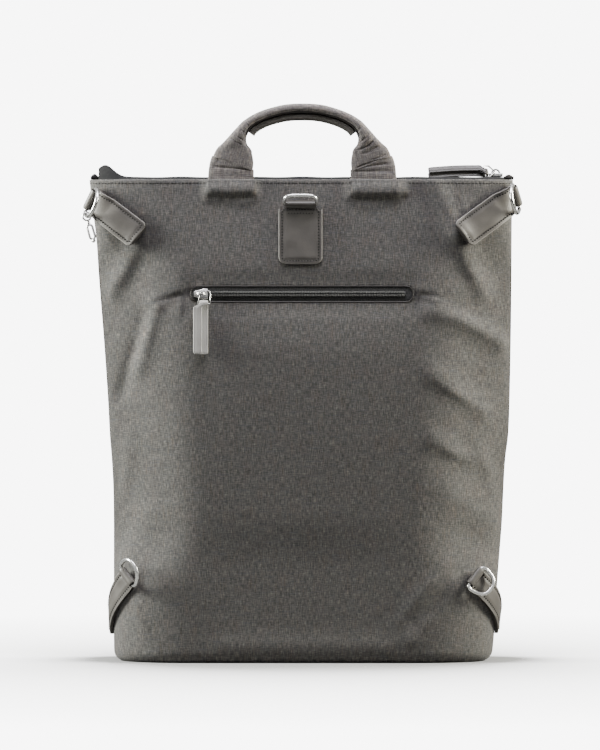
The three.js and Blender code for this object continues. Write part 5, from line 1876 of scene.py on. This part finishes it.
@dataclass
class Studio:
    """The pale floor, the soft lights and the camera at the photograph's view."""

    distance: float = 4.5
    focus: float = 0.035
    frame_width: float = 0.522
    middle: tuple[float, float] = (-0.0009, 0.2497)
    backdrop: float = 8.6
    ambient: float = 0.012
    shadow: float = 0.3
    shine: float = 0.8
    pale: Colour = (0.92, 0.92, 0.92)

    def camera(self) -> None:
        """Makes the camera, level and square on to the near face."""
        data = bpy.data.cameras.new("camera")
        data.sensor_fit = "HORIZONTAL"
        data.sensor_width = 36.0
        data.lens = 36.0 * (self.distance - self.focus) / self.frame_width
        data.clip_end = 50.0
        camera = bpy.data.objects.new("camera", data)
        camera.location = (self.middle[0], -self.distance, self.middle[1])
        camera.rotation_euler = (QUARTER, 0.0, 0.0)
        bpy.context.scene.collection.objects.link(camera)
        bpy.context.scene.camera = camera

    def floor(self) -> None:
        """Makes the pale floor: it glows, and ambient occlusion dims the glow near the bag as a
        painted contact shadow; near the bag part of it is a lit matt surface.
        """
        sketch = MeshSketch()
        far = 6e3
        sketch.add([(-far, -far, 0), (far, -far, 0), (far, far, 0), (-far, far, 0)],
                   [(0, 1, 2, 3)])
        tree = NodeTree("floor")
        glow = tree.node("ShaderNodeEmission")
        glow.inputs["Color"].default_value = (*self.pale, 1.0)
        path = tree.node("ShaderNodeLightPath")
        seen = tree.spread(path.outputs["Is Camera Ray"], 0, 1, self.ambient, self.backdrop)
        # ambient occlusion dims the floor's glow near the bag: a painted contact shadow
        near = tree.node("ShaderNodeAmbientOcclusion")
        near.inputs["Distance"].default_value = 0.8
        painted_shadow_factor = tree.spread(near.outputs["AO"], 0.7, 0.99, 0.05, 1.0)
        tree.link(tree.multiply(seen, painted_shadow_factor), glow.inputs["Strength"])
        matt = tree.node("ShaderNodeBsdfDiffuse")
        matt.inputs["Color"].default_value = (0.8, 0.8, 0.8, 1.0)
        place = tree.node("ShaderNodeTexCoord")
        away = tree.node("ShaderNodeVectorMath", operation="LENGTH")
        tree.link(place.outputs["Object"], away.inputs[0])
        blend = tree.node("ShaderNodeMixShader")
        tree.link(tree.spread(away.outputs["Value"], 0.3, 0.9, self.shadow, 0.0), blend.inputs[0])
        tree.link(glow.outputs[0], blend.inputs[1])
        tree.link(matt.outputs[0], blend.inputs[2])
        tree.link(blend.outputs[0], tree.nodes["Material Output"].inputs[0])
        floor = sketch.build("floor", [tree.material])

    def world(self) -> None:
        """Makes the pale surroundings, dimmer as a light than they look."""
        world = bpy.data.worlds.new("studio")
        world.use_nodes = True
        nodes, links = world.node_tree.nodes, world.node_tree.links
        path = nodes.new("ShaderNodeLightPath")
        blend = nodes.new("ShaderNodeMix")
        blend.inputs[2].default_value = self.ambient
        blend.inputs[3].default_value = self.backdrop
        links.new(path.outputs["Is Camera Ray"], blend.inputs[0])
        back = nodes["Background"]
        back.inputs["Color"].default_value = (*self.pale, 1.0)
        shine = nodes.new("ShaderNodeMath")
        shine.operation = "MULTIPLY_ADD"
        links.new(path.outputs["Is Glossy Ray"], shine.inputs[0])
        shine.inputs[1].default_value = self.shine
        links.new(blend.outputs[0], shine.inputs[2])
        links.new(shine.outputs[0], back.inputs["Strength"])
        bpy.context.scene.world = world

    def light(self, name: str, place: Triple, power: float, size: tuple[float, float],
              colour: Colour = (1.0, 1.0, 1.0), target: Triple = (0.0, 0.0, 0.32)) -> None:
        """Adds a soft rectangular light.

        Args:
            name: its name.
            place: where it stands, in metres.
            power: its power in watts.
            size: its width and height.
            colour: its colour.
            target: what it points at.
        """
        data = bpy.data.lights.new(name, "AREA")
        data.shape = "RECTANGLE"
        data.size, data.size_y = size
        data.energy = power
        data.color = colour
        lamp = bpy.data.objects.new(name, data)
        lamp.location = place
        way = Vector(target) - Vector(place)
        lamp.rotation_euler = way.to_track_quat("-Z", "Y").to_euler()
        bpy.context.scene.collection.objects.link(lamp)

    def build(self) -> None:
        """Sets up the studio."""
        self.camera()
        self.floor()
        self.world()
        # name, place, watts, size, colour and target
        self.light("left_box", (-0.95, -0.065, 0.57), 32, (0.26, 0.5), (0.985, 1.0, 0.925))
        self.light("right_box", (0.95, -0.065, 0.58), 26.3, (0.26, 0.5), (1.0, 0.98, 0.85))
        self.light("rear_box", (0.0, 2.4, 1.1), 14, (1.6, 1.0))
        self.light("top_box", (0.0, -0.21, 0.86), 6.6, (0.7, 0.2), (1.0, 0.985, 1.04),
                   (0.0, 0.0, 0.38))


def pocket_pull(finishes: Finishes, pocket: PocketZip) -> LeatherPull:
    """The pale pull that hangs from the pocket's slider."""
    link_drop = 0.76 * 11
    return LeatherPull(
        finishes.pale_leather, "pocket_pull_leather", "pocket_pull", "pale_leather",
        np.array((pocket.slider_x + 2.7, pocket.face_y - BRIDGE, WINDOW.z - link_drop)),
        np.array((0.0, -1.15 * SKIN.lean - 0.07, -1.0)), -AWAY, 44.0)


def top_pull(finishes: Finishes, closure: Closure) -> LeatherPull:
    """The dark pull that lies along the top from its slider at the right."""
    slider_x, link_reach, tilt = 170.0, 9.5, 0.5
    plate = SKIN.height + float(closure.rise(slider_x)) + 0.96 + 0.4
    return LeatherPull(
        finishes.pull_leather, "top_pull_leather", "top_pull", "leather",
        np.array((slider_x - link_reach, closure.middle_y - 3.4, plate + BRIDGE - 0.9)),
        np.array((-1.0, -0.16, -0.045)), np.array((0.0, -math.cos(tilt), math.sin(tilt))),
        50.0, 0.9, 3.5, 5.8)


def main() -> None:
    """Builds the bag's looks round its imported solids."""
    logging.basicConfig(level=logging.INFO, format="%(message)s")
    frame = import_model()
    Studio().build()
    finishes = Finishes.make()
    BagBody(finishes).build()
    Handle(finishes).build()
    closure = Closure(finishes)
    closure.build()
    pocket = PocketZip(finishes)
    pocket.build()
    # name, sewn end, fold, width, the fold's width, the ring's angle at rest, bow
    for tab in (
        StrapTab(finishes, "center", (-0.5, 346), (-0.5, 397.5), 38, 26, 52, rows=2, reach=12.5,
                 overhang=1.2, squareness=0.5),
        StrapTab(finishes, "top_left", (-141, 370.5), (-183, 402.5), 25, 19, 153),
        StrapTab(finishes, "top_right", (140, 371.5), (188, 406), 26, 19, 167),
        StrapTab(finishes, "bottom_left", (-198, 29), (-151, 74.5), 20, 17, 18, 1.5),
        StrapTab(finishes, "bottom_right", (200, 30), (151, 74.5), 20, 17, 158, 2.2),
    ):
        tab.build()
    metal = RoundedMetal(finishes, frame["nodes"])
    for node in ("pocket_slider", "pocket_link", "top_slider", "top_link"):
        metal.smooth(node, f"{node}_metal", BAG)
    metal.smooth("ring_drop", "ring_drop_metal", "ring_top_left")
    pocket_pull(finishes, pocket).build()
    top_pull(finishes, closure).build()


if __name__ == "__main__":
    main()
